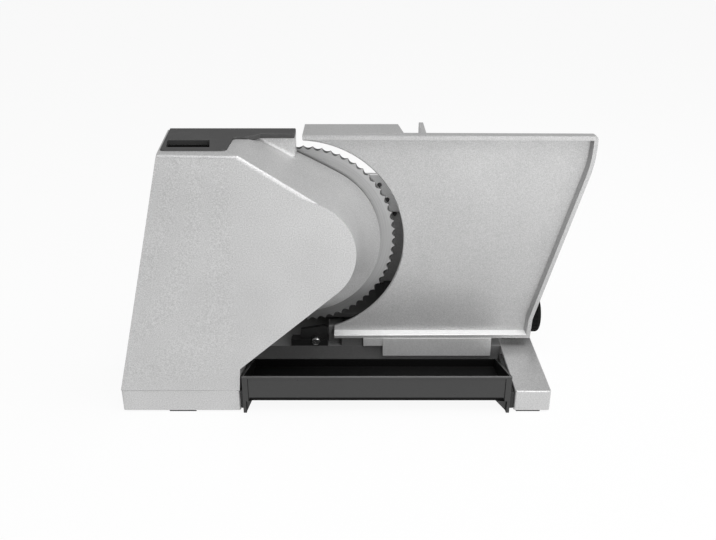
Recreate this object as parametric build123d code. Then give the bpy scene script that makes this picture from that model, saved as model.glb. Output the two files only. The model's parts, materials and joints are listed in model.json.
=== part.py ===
from build123d import *
import math
import os

# Food slicer with a round serrated blade. Millimetres, +Z up, origin on the table under the middle.
# Slices leave towards -Y, the food lies on the +Y side and moves along X.

# Fits
GAP = 0.3          # between pieces that move past each other
RUN = 0.05         # radial clearance of a running shaft
SEAT = 0.02        # radial clearance of a pin or screw that is fixed in its hole

# Base
FOOT_H = 1.6       # height of the rubber feet
SEAM_Z = 21.3      # joint between base pan and housing
DECK_Z = 20.6      # top of beam and right foot
BASE_X0 = -200.0
PAN_X1 = -99.8
FRONT_Y = -110.0   # front of pan, housing and right foot
BEAM_Y = -33.5     # front of the beam
BEAM_X0 = -150.0
DECK_Y1 = 75.0     # rear of the beam
FOOT_X0 = 132.8
FOOT_X1 = 163.4
FOOT_Y1 = 3.4
WALL = 3.0         # wall of pan, beam and foot
COVER_T = 2.4
COVER_SEAT = 1.6   # how deep the cover screws are sunk
PAN_PAD = (-161.0, -138.0)     # front rubber pads along X
FOOT_PAD = (134.8, 155.4)
PAD_Y0 = FRONT_Y + 0.5
PAD_Y1 = FRONT_Y + 20.0
FOOT_R = 8.0       # round rear feet
REAR_FEET = ((-132.0, 56.0), (112.0, 56.0))
FOOT_BOSS = 2.0    # how far the boss over a rubber foot stands out beside it
CABLE_R = 3.2
GLAND_X = -163.0
GLAND_Z = 12.0
GLAND_R = 5.0
GLAND_FLANGE = 3.0
GLIDE_Z0 = 2.2     # strips beside the tray
GLIDE_Z1 = 20.0
EDGE_CUT = 0.6     # small chamfer along the seam

# Blade and the round shapes about its axis
AXIS_X = -50.0
AXIS_Z = 126.8
BLADE_R = 83.2
BLADE_T = 1.5
BLADE_Y = -26.0    # food side of the blade
BLADE_EDGE_T = 0.4
BEVEL_W = 12.0
SCALLOPS = 66
SCALLOP_DEPTH = 1.6
DISH_R = 32.0      # recessed middle of the blade
DISH_DEPTH = 2.5
SPIGOT_R = 9.0
LOCK_R = 15.0
LOCK_STUD_R = 4.0
RIM_R = 69.5       # rim of the scoop in front of the blade
RIM_Y0 = -34.0     # front and back of the rear plate
RIM_Y1 = -31.0
CUT_GAP = 7.0      # between the blade and the cut-out of the stop plate
CUT_R = BLADE_R + CUT_GAP
CUT_Z = AXIS_Z - 2.3   # middle of the cut-out

# Housing outline on the front face, as (x, z)
TOP_Z = 225.2
FRONT_TOP_X0 = -149.3
REAR_TOP_X0 = -156.5
FRONT_DIAG_TOP = (-89.2, TOP_Z)
FRONT_NOSE_TOP = (-28.8, 186.4)
FRONT_NOSE = (-1.6, 151.0)
FRONT_NOSE_LOW = (-17.5, 111.5)
FRONT_DIAG_LOW = (-98.2, 42.2)
REAR_DIAG_TOP = (-85.0, TOP_Z - 3.2)
REAR_UPPER = (-50.0, TOP_Z - 19.8)
SCOOP_POWER = 2.2  # how late the scoop flares out to the rim
SECTION_DEPTHS = (-0.06, 0.0, 0.25, 0.5, 0.72, 0.88, 1.0)
FOLD_X = -94.5     # upright fold in the front face
FOLD_DEPTH = 6.0   # how far the front face lies back at its top left, beyond the fold
SHELL = 3.5        # wall of the housing
FRONT_WALL = 5.0
ROOF = 3.0         # wall under the top panel
EDGE_R = 2.0
TOP_EDGE_R = 3.0   # upper front edges of the housing
CORNER_X0 = -105.0
CORNER_LOW_X = -90.0
CORNER_X1 = -51.4  # right end of the top corner block
CORNER_Y0 = -46.0
CORNER_Z0 = TOP_Z - 21.5

# Top panel and switch
PANEL_Z0 = TOP_Z - 3.2
PANEL_Z1 = TOP_Z + 0.8
PANEL_R = 4.0
PANEL_Y0 = -96.9
PANEL_STEP_Y = -58.4
STRIP_Y0 = -48.7
PANEL_X_FRONT = -149.2
PANEL_X_REAR = -155.6
PANEL_STEP_X0 = -99.3
PANEL_STEP_X1 = -88.0
STRIP_X0 = -79.0
KEY_X0, KEY_X1 = -146.0, -113.0
KEY_LEAN = -3.5    # the rear edge of the key lies this far along X from the front edge
KEY_Y0, KEY_Y1 = -88.6, -68.5
KEY_TOP = TOP_Z - 4.7
KEY_T = 3.7
KEY_TRAVEL = 2.5
KEY_STEM_R = 3.0
KEY_STEM_L = 6.0
KEY_STEM_ROOM = 3.0    # below the stem of the pressed key
BLOCK_Z0 = TOP_Z - 27.2

# Gear train, all axes along Y
GEAR_Y1 = -36.5
GEAR_Y0 = -43.0
GEAR_M = 1.5
GEAR_TEETH = 60
PINION_TEETH = 14
WHEEL_M = 1.0
WHEEL_TEETH = 46
WHEEL_Y0 = -56.0
WHEEL_Y1 = -50.0
ADDENDUM = 0.8
DEDENDUM = 1.1
BACKLASH = 0.12    # taken off every tooth, in modules
IDLER_X = AXIS_X - GEAR_M * (GEAR_TEETH + PINION_TEETH) / 2
MOTOR_X = IDLER_X - WHEEL_M * (WHEEL_TEETH + PINION_TEETH) / 2
GEARBOX_OUTLINE = (
    (-152.0, TOP_Z - 38.2),
    (-62.0, TOP_Z - 47.2),
    (-32.0, 145.0),
    (-32.0, 116.0),
    (-64.0, 83.0),
    (-170.0, 65.0),
)
CHASSIS_Y0 = -60.0
CHASSIS_Y1 = -57.0
AXLE_R = 4.0
BUSH_R = 6.0
IDLER_AXLE_R = 3.0
SHAFT_R = 2.5
MOTOR_R = 24.0
MOTOR_Y0 = -101.0
CAN_T = 2.0
CORE_R = 17.5
CORE_Y0 = -92.0
CORE_Y1 = -70.0

# Stop plate, outline as (x, z) at its rim
PLATE_X0 = -46.0
PLATE_X1 = 198.7
PLATE_STRAP = 6.3  # left of the plate above its cut-out
PLATE_TOP = CUT_Z + CUT_R + PLATE_STRAP
PLATE_TOP_DROP = 1.0   # the top edge falls this far to the right
PLATE_BEND_Z = PLATE_TOP - 24.0
PLATE_BEND_R = 100.0
PLATE_KNEE = (159.5, 50.0)
PLATE_BOTTOM_X = 158.6
PLATE_Z0 = 30.2
PLATE_LOW_H = 8.6  # of the lower left edge, below the cut-out
PLATE_T = 3.0
PLATE_CORNER_R = 2.5
PLATE_RIM_Y = -36.0
RIM_W = 3.4
RIM_SLOPE = 1.1    # how far the inner side of the rim leans in towards the floor
SHELF_X1 = 38.0
SHELF_X2 = 34.7
SHELF_Y1 = 2.0
SHELF_T = 2.6
CARRIER_X0, CARRIER_X1 = 23.0, 123.0
CARRIER_Y0 = -38.5
CARRIER_Z0 = 12.6
CARRIER_Y1 = -20.0
CARRIER_T = 4.5
EAR_X0 = 5.0
EAR_Y0 = -36.5
EAR_Z0 = 22.2
ROD_R = 3.0
ROD_Z = 16.4
ROD_XS = (46.0, 100.0)
ROD_Y0 = -36.8
ROD_Y1 = 24.0
ROD_BUSH_R = 4.8
ROD_BUSH_Y1 = 8.0
PLATE_TRAVEL = 20.0

# Guard under the blade and the block beside it on the beam
GUARD_PLATE_X0, GUARD_PLATE_X1 = -62.0, -28.0
GUARD_PLATE_T = 4.0
GUARD_STEP_Z = 27.0    # top of the lower flange
GUARD_STEP_Y = 3.0     # how far the upper wall lies behind the flange
GUARD_WALL_X0 = -54.0
GUARD_GAP = 3.8        # between the blade and the upper wall
GUARD_TOP = AXIS_Z - BLADE_R - GUARD_GAP
GUARD_WALL_TOP = ((-53.0, GUARD_TOP - 3.8), (-31.5, GUARD_TOP), (-28.0, GUARD_TOP - 1.2))
GUARD_LEDGE_Y = 16.0
GUARD_LEDGE_T = 3.0
GUIDE_BLOCK_L = 14.0
GUIDE_BLOCK_GAP = 0.6
GUIDE_STEP_X = -14.0   # left of it the block is tall
GUIDE_TALL_Y1 = -12.0
GUIDE_TALL_TOP = 38.0

# Thickness knob with a pinion that drives the rack of the stop plate, axis along X
KNOB_Y = -4.0
KNOB_Z = 40.0
KNOB_R = 18.0
KNOB_X0, KNOB_X1 = 151.5, 171.5
KNOB_END_R = 3.5
KNOB_HUB_R = 8.0
KNOB_FLUTES = 24
FLUTE_R = 1.4
FLUTE_DEPTH = 0.7
POINTER_W = 2.0
POINTER_T = 0.8
SPINDLE_R = 4.0
SPINDLE_COLLAR_R = 6.0
KNOB_SEAT_L = 10.0     # how deep the spindle sits in the knob
DRIVE_M = 1.0
DRIVE_TEETH = 14
DRIVE_X0, DRIVE_X1 = 133.8, 141.0
DRIVE_R = DRIVE_M * DRIVE_TEETH / 2
RACK_PITCHES = 10
RACK_T = 7.0
RACK_ARM_T = 4.0
RACK_ARM_H = 27.0
POST_X0, POST_X1 = 144.0, 149.0
POST_HALF = 9.0
POST_BASE_X0 = 136.0
POST_BASE_Y0 = -20.5
POST_BASE_T = 2.4

# Carriage
RAIL_X0, RAIL_X1 = -148.0, 130.0
RAIL_Y = 36.0
RAIL_HEAD_W = 16.0
RAIL_STEM_W = 6.0
RAIL_HEAD_Z = 27.0
RAIL_TOP = 33.0
SLIDER_X0, SLIDER_X1 = -42.0, 42.0
SLIDER_W = 26.0
SLIDER_Z0 = 23.0
FLOOR_Z0, FLOOR_Z1 = 46.0, 49.5
FLOOR_X0, FLOOR_X1 = -72.0, 74.0
FLOOR_Y0, FLOOR_Y1 = -24.4, 112.0
LIP_Z = 58.0
GUARD_X0, GUARD_X1 = 60.0, 64.0
GUARD_Y0, GUARD_Y1 = -22.0, 98.0
GUARD_TOP = 200.0
GUARD_SHOULDER = 50.0
GUARD_FLANGE = 9.0
GUARD_FLANGE_T = 3.0
KEYWAY_X0, KEYWAY_X1 = 18.0, 26.0
KEYWAY_DEPTH = 2.0

# Remnant holder
HOLDER_X0, HOLDER_X1 = -16.0, 57.0
HOLDER_Y = 46.0
HOLDER_T = 4.0
HOLDER_TOP = 162.0
HOLDER_FOOT_L = 34.0
HOLDER_RIB = 3.0
FACE_Z0 = 124.6
FACE_T = 2.0
SPIKE_R = 2.2
SPIKE_TIP_R = 0.5
SPIKE_L = 6.0
SPIKE_ROWS = 3
SPIKE_COLUMNS = 5
SPIKE_STEP = 15.0
SPIKE_EDGE = 10.0
GRIP_R = 13.0
GRIP_STEM_R = 6.0
GRIP_T = 10.0
GRIP_DROP = 30.0

# Tray
TRAY_X0 = PAN_X1 + 2.4
TRAY_X1 = 128.7
TRAY_FRONT = -112.0
TRAY_BACK = -41.0
TRAY_WALL = 2.2
TRAY_CHEEK = 5.0   # width of the upright ends of the front
TRAY_RECESS = 0.8  # how far the front lies back between its ends
TRAY_LIP = 2.8     # height of the rim over the recess
TRAY_BAND = 3.5    # slanting band along the lower front edge
TRAY_BAND_DEPTH = 2.0
TRAY_RIM_FRONT = 36.4
TRAY_RIM_BACK = 11.2
TRAY_FLOOR_FRONT = 13.0
TRAY_FLOOR_BACK = 1.6
SKID_Y1 = -92.0
SKID_W = 2.8
SKID_WEBS = (7.8, 12.7)    # width of the three-cornered web over the left and the right front skid
REAR_SKID = ((-62.0, 0.0), (-48.0, 0.0), (-46.0, 3.4), (-66.0, 6.4))

# M4 screw
M4_R = 2.0
M4_HEAD_R = 3.8
M4_HEAD = 2.4
GEARBOX_SCREW_L = 10.0
REAR_SCREW_L = 9.0
SLIDER_SCREW_L = 8.0
COVER_SCREW_L = 11.0
HEAD_ROOM = 0.2    # round a sunk screw head
TAP_ROOM = 1.0     # of a screw's hole beyond its tip
BOSS_R = 6.0       # half width of a screw boss

# Fixings, as (x, z) in upright walls and (x, y) in floors
CHASSIS_POINTS = ((-143.0, TOP_Z - 47.2), (-72.0, TOP_Z - 57.2), (-74.0, 92.0), (-160.0, 74.0))
REAR_POINTS = ((-176.0, 60.0), (-154.0, TOP_Z - 40.2), (-112.0, 50.0), (-108.0, TOP_Z - 20.2))
REAR_REACH = ((-34.0, 0.0), (-34.0, 0.0), (24.0, 0.0), (0.0, 16.0))    # from each post to its wall
REACH_HALF = 4.0
REAR_POST_L = 14.0
COVER_POINTS = ((-188.0, -99.0), (-111.0, -99.0), (-188.0, -42.0), (-111.0, -42.0))
GUARD_SCREW = (-39.0, 26.0)
GUARD_BOSS_R = 4.4
FRAME_SCREW_Z = 11.0
PAN_SCREW_XS = (-140.0, -112.0)
FOOT_SCREW_YS = (-24.0, -10.0)
RAIL_SCREW_XS = (-130.0, -10.0, 112.0)
PLATE_SCREW_XS = (30.0, 73.0, 116.0)
PLATE_SCREW_Y = -31.5
PLATE_SCREW_TIP = PLATE_Z0 + RIM_W - 0.4
RACK_SCREW_ZS = (60.0, 69.0)
POST_SCREW_X = 140.4
POST_SCREW_YS = (-16.0, -5.0)
SLIDER_SCREW_XS = (-30.0, 34.0)
GUARD_SCREW_YS = (0.0, 80.0)
GUARD_SCREW_X = GUARD_X1 + GUARD_FLANGE / 2


def box(x0, x1, y0, y1, z0, z1):
    return Pos((x0 + x1) / 2, (y0 + y1) / 2, (z0 + z1) / 2) * Box(x1 - x0, y1 - y0, z1 - z0)


def along_y(x, z, r, y0, y1):
    return Pos(x, (y0 + y1) / 2, z) * Rot(90, 0, 0) * Cylinder(r, y1 - y0)


def along_z(x, y, r, z0, z1):
    return Pos(x, y, (z0 + z1) / 2) * Cylinder(r, z1 - z0)


def along_x(y, z, r, x0, x1):
    return Pos((x0 + x1) / 2, y, z) * Rot(0, 90, 0) * Cylinder(r, x1 - x0)


def xz_plane(y):
    return Plane((0, y, 0), x_dir=(1, 0, 0), z_dir=(0, -1, 0))


def prism_xz(points, y0, y1):
    return extrude(xz_plane(y1) * Polygon(*points, align=None), y1 - y0, dir=(0, -1, 0))


def prism_xy(points, z0, z1):
    return extrude(Plane((0, 0, z0)) * Polygon(*points, align=None), z1 - z0, dir=(0, 0, 1))


def prism_yz(points, x0, x1):
    plane = Plane((x0, 0, 0), x_dir=(0, 1, 0), z_dir=(1, 0, 0))
    return extrude(plane * Polygon(*points, align=None), x1 - x0, dir=(1, 0, 0))


def turned_y(profile, x, z):
    """Turn a profile of (radius, y) points about the Y axis through (x, z)."""
    face = Polygon(*profile, align=None)
    return Pos(x, 0, z) * revolve(face, Axis.Y)


def screw_y(x, z, head_y, tip_y):
    """Screw along Y whose head lies behind head_y as seen from the tip."""
    way = 1 if head_y > tip_y else -1
    shank = along_y(x, z, M4_R, min(head_y, tip_y), max(head_y, tip_y))
    end_y = head_y + way * M4_HEAD
    return shank + along_y(x, z, M4_HEAD_R, min(head_y, end_y), max(head_y, end_y))


def screw_z(x, y, head_z, tip_z):
    way = 1 if head_z > tip_z else -1
    shank = along_z(x, y, M4_R, min(head_z, tip_z), max(head_z, tip_z))
    end_z = head_z + way * M4_HEAD
    return shank + along_z(x, y, M4_HEAD_R, min(head_z, end_z), max(head_z, end_z))


def gear_face(module, teeth, turn):
    """Involute gear outline about the origin; turn is the angle of one tooth in degrees."""
    pitch = module * teeth / 2
    base = pitch * math.cos(math.radians(20))
    tip = pitch + ADDENDUM * module
    root = pitch - DEDENDUM * module
    half = (math.pi / 2 - BACKLASH) / teeth
    inv = math.tan(math.radians(20)) - math.radians(20)
    flank = []
    for r in (base * 1.001, pitch, tip):
        roll = math.acos(base / r)
        flank.append((r, half + inv - (math.tan(roll) - roll)))
    if root < base:
        flank.insert(0, (root, flank[0][1]))
    points = []
    for i in range(teeth):
        mid = math.radians(turn) + 2 * math.pi * i / teeth
        for r, a in flank:
            points.append((r * math.cos(mid - a), r * math.sin(mid - a)))
        for r, a in reversed(flank):
            points.append((r * math.cos(mid + a), r * math.sin(mid + a)))
    return Polygon(*points, align=None)


def gear(x, z, module, teeth, turn, y0, y1):
    face = xz_plane(y1) * gear_face(module, teeth, turn)
    return Pos(x, 0, z) * extrude(face, y1 - y0, dir=(0, -1, 0))


def rim_point(angle):
    """Point on the scoop rim, angle in degrees clockwise from the top."""
    a = math.radians(angle)
    return (AXIS_X + RIM_R * math.sin(a), AXIS_Z + RIM_R * math.cos(a))


def housing_section(y):
    """Closed housing outline at depth y, flaring from the front face outline to the scoop rim."""
    depth = (y - FRONT_Y) / (RIM_Y0 - FRONT_Y)
    flare = max(depth, 0.0) ** SCOOP_POWER

    def mix(front, rear):
        return (front[0] + flare * (rear[0] - front[0]), front[1] + flare * (rear[1] - front[1]))

    def between(a, b):
        return ((a[0] + b[0]) / 2, (a[1] + b[1]) / 2)

    top_left = (FRONT_TOP_X0 + depth * (REAR_TOP_X0 - FRONT_TOP_X0), TOP_Z)
    diag_top = mix(FRONT_DIAG_TOP, REAR_DIAG_TOP)
    upper = mix(between(FRONT_DIAG_TOP, FRONT_NOSE_TOP), REAR_UPPER)
    nose_top = mix(FRONT_NOSE_TOP, rim_point(30))
    nose = mix(FRONT_NOSE, rim_point(76))
    nose_low = mix(FRONT_NOSE_LOW, rim_point(118))
    lower = mix(between(FRONT_NOSE_LOW, FRONT_DIAG_LOW), rim_point(166))
    diag_low = mix(FRONT_DIAG_LOW, rim_point(214))
    edges = [Line((BASE_X0, SEAM_Z), top_left), Line(top_left, diag_top)]
    if flare == 0:
        edges.append(Line(diag_top, nose_top))
    else:
        edges.append(ThreePointArc(diag_top, upper, nose_top))
    edges.append(ThreePointArc(nose_top, nose, nose_low))
    if flare == 0:
        edges.append(Line(nose_low, diag_low))
    else:
        edges.append(ThreePointArc(nose_low, lower, diag_low))
    edges.append(Line(diag_low, (PAN_X1, SEAM_Z)))
    edges.append(Line((PAN_X1, SEAM_Z), (BASE_X0, SEAM_Z)))
    return xz_plane(y) * make_face(Curve() + edges)


def panel_outline(grow):
    return (
        (PANEL_X_REAR - grow, RIM_Y1),
        (PANEL_X_FRONT - grow, PANEL_Y0 - grow),
        (PANEL_STEP_X0 + grow, PANEL_Y0 - grow),
        (PANEL_STEP_X0 + grow, PANEL_STEP_Y - grow),
        (PANEL_STEP_X1 + grow, PANEL_STEP_Y - grow),
        (STRIP_X0 + grow, STRIP_Y0 - grow),
        (CORNER_X1, STRIP_Y0 - grow),
        (CORNER_X1, RIM_Y1),
    )


def panel_form(grow, z0, z1):
    form = prism_xy(panel_outline(grow), z0, z1)
    upright = form.edges().filter_by(Axis.Z).group_by(Axis.Y)
    return fillet(upright[0] + upright[1], PANEL_R + grow)


def key_form(shrink, z0, z1):
    points = (
        (KEY_X0 + shrink, KEY_Y0 + shrink),
        (KEY_X1 - shrink, KEY_Y0 + shrink),
        (KEY_X1 + KEY_LEAN - shrink, KEY_Y1 - shrink),
        (KEY_X0 + KEY_LEAN + shrink, KEY_Y1 - shrink),
    )
    return prism_xy(points, z0, z1)


def front_cut():
    """Everything before the front face, which lies back towards its top left beyond the fold."""

    def section(z, depth):
        points = (
            (FOLD_X, FRONT_Y),
            (BASE_X0 - 1, FRONT_Y + depth),
            (BASE_X0 - 1, FRONT_Y - BLADE_R),
            (BLADE_R, FRONT_Y - BLADE_R),
            (BLADE_R, FRONT_Y),
        )
        return Plane((0, 0, z)) * Polygon(*points, align=None)

    return loft([section(SEAM_Z - 1, 0.0), section(TOP_Z + 1, FOLD_DEPTH)], ruled=True)


def housing_form():
    """Outer form of the housing with rounded front edges."""
    form = loft([housing_section(FRONT_Y + d * (RIM_Y0 - FRONT_Y)) for d in SECTION_DEPTHS])
    form -= front_cut()
    rounded = []
    for edge in form.edges():
        size = edge.bounding_box()
        on_front = size.max.Y < FRONT_Y + FOLD_DEPTH
        on_seam = size.max.Z < SEAM_Z + 1
        on_fold = size.size.X < 0.1 and size.size.Z > TOP_Z / 2
        is_upper = size.max.Z > FRONT_NOSE_TOP[1] + 5 and size.min.X > BASE_X0 / 2 - 51 and not on_seam
        if on_front and is_upper and not on_fold:
            rounded.append(edge)
    return fillet(rounded, TOP_EDGE_R)


def motor_housing():
    corner = prism_xz(
        (
            (CORNER_X0, PANEL_Z0),
            (CORNER_X1, PANEL_Z0),
            (CORNER_X1, CORNER_Z0),
            (CORNER_LOW_X, CORNER_Z0),
        ),
        CORNER_Y0,
        RIM_Y0,
    )
    body = housing_form() + corner
    left = SHELL * 1.03
    cavity = prism_xz(
        (
            (BASE_X0 + left, SEAM_Z - 1),
            (FRONT_TOP_X0 - 1.5 + left, PANEL_Z0 - ROOF),
            (FRONT_DIAG_TOP[0] + 4.0, PANEL_Z0 - ROOF),
            (FRONT_NOSE_TOP[0] - 3.0, FRONT_NOSE_TOP[1] - 5.0),
            (FRONT_NOSE[0] - 6.5, FRONT_NOSE[1] + 2.0),
            (FRONT_NOSE[0] - 7.0, FRONT_NOSE[1] - 14.0),
            (FRONT_NOSE_LOW[0] - 4.5, FRONT_NOSE_LOW[1] + 1.0),
            (FRONT_DIAG_LOW[0] - 3.6, FRONT_DIAG_LOW[1] + 3.0),
            (PAN_X1 - SHELL, SEAM_Z - 1),
        ),
        FRONT_Y + FRONT_WALL,
        RIM_Y0 + 1,
    )
    gear_room = along_y(AXIS_X, AXIS_Z, GEAR_M * GEAR_TEETH / 2 + 4.0, GEAR_Y0 - 3.0, RIM_Y0 + 1)
    shell = body - cavity - gear_room
    for x, z in CHASSIS_POINTS:
        shell += along_y(x, z, BOSS_R, FRONT_Y + SHELL, CHASSIS_Y0)
    for (x, z), (dx, dz) in zip(REAR_POINTS, REAR_REACH):
        post_y = RIM_Y0 - REAR_POST_L
        post = box(x - BOSS_R, x + BOSS_R, post_y, RIM_Y0, z - BOSS_R, z + BOSS_R)
        x0, x1 = min(x, x + dx) - REACH_HALF, max(x, x + dx) + REACH_HALF
        post += box(x0, x1, post_y, RIM_Y0, z - REACH_HALF, z + dz + REACH_HALF)
        shell += post & body
    for x, y in COVER_POINTS:
        shell += box(x - 12.0, x + 8.0, y - BOSS_R, y + BOSS_R, SEAM_Z, SEAM_Z + 18.0) & body
    shell -= panel_form(0.2, PANEL_Z0, TOP_Z + 1)
    shell -= key_form(0.0, KEY_TOP - KEY_T - KEY_TRAVEL - 1, PANEL_Z0 + 1)
    for x, z in CHASSIS_POINTS:
        shell -= along_y(x, z, M4_R + SEAT, CHASSIS_Y0 - GEARBOX_SCREW_L - TAP_ROOM, CHASSIS_Y0 + 1)
    for x, z in REAR_POINTS:
        shell -= along_y(x, z, M4_R + SEAT, RIM_Y0 - REAR_SCREW_L - TAP_ROOM, RIM_Y0 + 1)
    for x, y in COVER_POINTS:
        shell -= along_z(x, y, M4_R + SEAT, SEAM_Z - 1, SEAM_Z + COVER_SCREW_L + TAP_ROOM)
    return shell


def rear_plate():
    lean = (BASE_X0 - REAR_TOP_X0) / (SEAM_Z - TOP_Z)
    wall = prism_xz(
        (
            (BASE_X0, SEAM_Z),
            (BASE_X0 + lean * (PANEL_Z0 - SEAM_Z), PANEL_Z0),
            (CORNER_X1, PANEL_Z0),
            (CORNER_X1, AXIS_Z),
            (PAN_X1, AXIS_Z),
            (PAN_X1, SEAM_Z),
        ),
        RIM_Y0,
        RIM_Y1,
    )
    behind = extrude(housing_section(RIM_Y0), RIM_Y1 - RIM_Y0, dir=(0, 1, 0))
    behind &= box(BASE_X0, BLADE_R, RIM_Y0, RIM_Y1, SEAM_Z, PANEL_Z0)
    plate = wall + along_y(AXIS_X, AXIS_Z, RIM_R, RIM_Y0, RIM_Y1) + behind
    plate -= along_y(AXIS_X, AXIS_Z, BUSH_R + 9.0, RIM_Y0 - 1, RIM_Y1 + 1)
    plate -= along_y(IDLER_X, AXIS_Z, IDLER_AXLE_R + SEAT, RIM_Y0 - 1, RIM_Y1 - 1)
    for x, z in REAR_POINTS:
        plate -= along_y(x, z, M4_R + SEAT, RIM_Y0 - 1, RIM_Y1 + 1)
    return plate


def gearbox_plate():
    plate = prism_xz(GEARBOX_OUTLINE, CHASSIS_Y0, CHASSIS_Y1)
    plate -= along_y(AXIS_X, AXIS_Z, AXLE_R + SEAT, CHASSIS_Y0 - 1, CHASSIS_Y1 + 1)
    plate -= along_y(IDLER_X, AXIS_Z, IDLER_AXLE_R + SEAT, CHASSIS_Y0 - 1, CHASSIS_Y1 + 1)
    plate -= along_y(MOTOR_X, AXIS_Z, SHAFT_R + 2.0, CHASSIS_Y0 - 1, CHASSIS_Y1 + 1)
    for x, z in CHASSIS_POINTS:
        plate -= along_y(x, z, M4_R + SEAT, CHASSIS_Y0 - 1, CHASSIS_Y1 + 1)
    return plate


def top_panel():
    panel = panel_form(0.0, PANEL_Z0, PANEL_Z1)
    panel = fillet(panel.edges().group_by(Axis.Z)[-1], 1.0)
    return panel - key_form(0.0, PANEL_Z0 - 1, PANEL_Z1 + 1)


def key_middle():
    return (KEY_X0 + KEY_X1 + KEY_LEAN) / 2, (KEY_Y0 + KEY_Y1) / 2


def switch_button():
    cap = key_form(0.5, KEY_TOP - KEY_T, KEY_TOP)
    cap = fillet(cap.edges().group_by(Axis.Z)[-1], 1.0)
    x, y = key_middle()
    return cap + along_z(x, y, KEY_STEM_R, KEY_TOP - KEY_T - KEY_STEM_L, KEY_TOP - KEY_T + 0.5)


def switch_block():
    roof = PANEL_Z0 - ROOF
    block = box(KEY_X0 + 2.0, KEY_X1 + 4.0, KEY_Y0 - 3.0, KEY_Y1 + 3.0, BLOCK_Z0, roof)
    seat_z = KEY_TOP - KEY_T - KEY_TRAVEL - 0.3
    block -= key_form(0.0, seat_z, roof + 1)
    x, y = key_middle()
    return block - along_z(x, y, KEY_STEM_R + RUN, seat_z - KEY_STEM_L - KEY_STEM_ROOM, seat_z + 1)


def base_pan():
    pan = box(BASE_X0, PAN_X1, FRONT_Y, RIM_Y1, FOOT_H, SEAM_Z)
    pan = fillet(pan.edges().filter_by(Axis.Z), EDGE_R)
    pan = chamfer(pan.edges().group_by(Axis.Z)[-1], EDGE_CUT)
    pan -= box(BASE_X0 + WALL, PAN_X1 - WALL, FRONT_Y + WALL, RIM_Y1 - WALL, FOOT_H - 1, SEAM_Z + 1)
    for x, y in COVER_POINTS:
        pan += box(x - 10.0, x + 9.0, y - 9.0, y + 9.0, FOOT_H + COVER_T, SEAM_Z)
        pan -= along_z(x, y, M4_R + SEAT, FOOT_H, SEAM_Z + 1)
    pan -= along_y(GLAND_X, GLAND_Z, GLAND_R + SEAT, RIM_Y1 - WALL - 1, RIM_Y1 + 1)
    for x in PAN_SCREW_XS:
        pan -= along_y(x, FRAME_SCREW_Z, M4_R + SEAT, RIM_Y1 - WALL - 1, RIM_Y1 + 1)
    return pan


def bottom_cover():
    c = 0.2
    plate = box(
        BASE_X0 + WALL + c,
        PAN_X1 - WALL - c,
        FRONT_Y + WALL + c,
        RIM_Y1 - WALL - c,
        FOOT_H,
        FOOT_H + COVER_T,
    )
    for x, y in COVER_POINTS:
        plate -= along_z(x, y, M4_R + SEAT, FOOT_H - 1, FOOT_H + COVER_T + 1)
        plate -= along_z(x, y, M4_HEAD_R + HEAD_ROOM, FOOT_H - 1, FOOT_H + COVER_SEAT)
    return plate


def cross_beam():
    lean = WALL
    beam = box(PAN_X1, FOOT_X0, BEAM_Y, DECK_Y1, FOOT_H, DECK_Z)
    beam += box(BEAM_X0, PAN_X1 + 1, RIM_Y1, DECK_Y1, FOOT_H, DECK_Z)
    beam = fillet(beam.edges().filter_by(Axis.Z).group_by(Axis.Y)[-1], 12.0)
    room = box(PAN_X1 + lean, FOOT_X0 - lean, BEAM_Y + lean, DECK_Y1 - lean, FOOT_H - 1, DECK_Z - lean)
    room += box(BEAM_X0 + lean, PAN_X1 + 5, RIM_Y1 + lean, DECK_Y1 - lean, FOOT_H - 1, DECK_Z - lean)
    room = fillet(room.edges().filter_by(Axis.Z).group_by(Axis.Y)[-1], 9.0)
    beam -= room
    for x in ROD_XS:
        beam += box(x - 8.0, x + 8.0, BEAM_Y, ROD_BUSH_Y1, FOOT_H + 4.0, DECK_Z + 2.4)
        beam -= along_y(x, ROD_Z, ROD_BUSH_R + SEAT, BEAM_Y - 1, ROD_BUSH_Y1)
        beam -= along_y(x, ROD_Z, ROD_R + 0.6, BEAM_Y - 1, ROD_Y1 + 1)
    for x, y in REAR_FEET:
        beam += along_z(x, y, FOOT_R + FOOT_BOSS, FOOT_H, DECK_Z - 1)
    for x in RAIL_SCREW_XS:
        beam += along_z(x, RAIL_Y, BOSS_R, FOOT_H + 5.0, DECK_Z - 1)
        beam -= along_z(x, RAIL_Y, M4_R + SEAT, DECK_Z - 11.0, DECK_Z + 1)
    for x in PAN_SCREW_XS:
        beam -= along_y(x, FRAME_SCREW_Z, M4_R + SEAT, RIM_Y1 - 1, RIM_Y1 + WALL + 1)
    for y in FOOT_SCREW_YS:
        beam -= along_x(y, FRAME_SCREW_Z, M4_R + SEAT, FOOT_X0 - WALL - 1, FOOT_X0 + 1)
    return beam


def right_foot():
    foot = box(FOOT_X0, FOOT_X1, FRONT_Y, FOOT_Y1, FOOT_H, DECK_Z)
    foot = fillet(foot.edges().filter_by(Axis.Z), EDGE_R)
    foot = fillet(foot.edges().group_by(Axis.Z)[-1], 1.0)
    foot -= box(FOOT_X0 + WALL, FOOT_X1 - WALL, FRONT_Y + WALL, FOOT_Y1 - WALL, FOOT_H - 1, DECK_Z - WALL)
    foot += box(FOOT_X0 + 1, FOOT_PAD[1] + FOOT_BOSS, FRONT_Y + 1, PAD_Y1 + FOOT_BOSS, FOOT_H, DECK_Z - 1)
    for y in FOOT_SCREW_YS:
        foot -= along_x(y, FRAME_SCREW_Z, M4_R + SEAT, FOOT_X0 - 1, FOOT_X0 + WALL + 1)
    for y in POST_SCREW_YS:
        foot -= along_z(POST_SCREW_X, y, M4_R + SEAT, DECK_Z - WALL - 1, DECK_Z + 1)
    return foot


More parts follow.
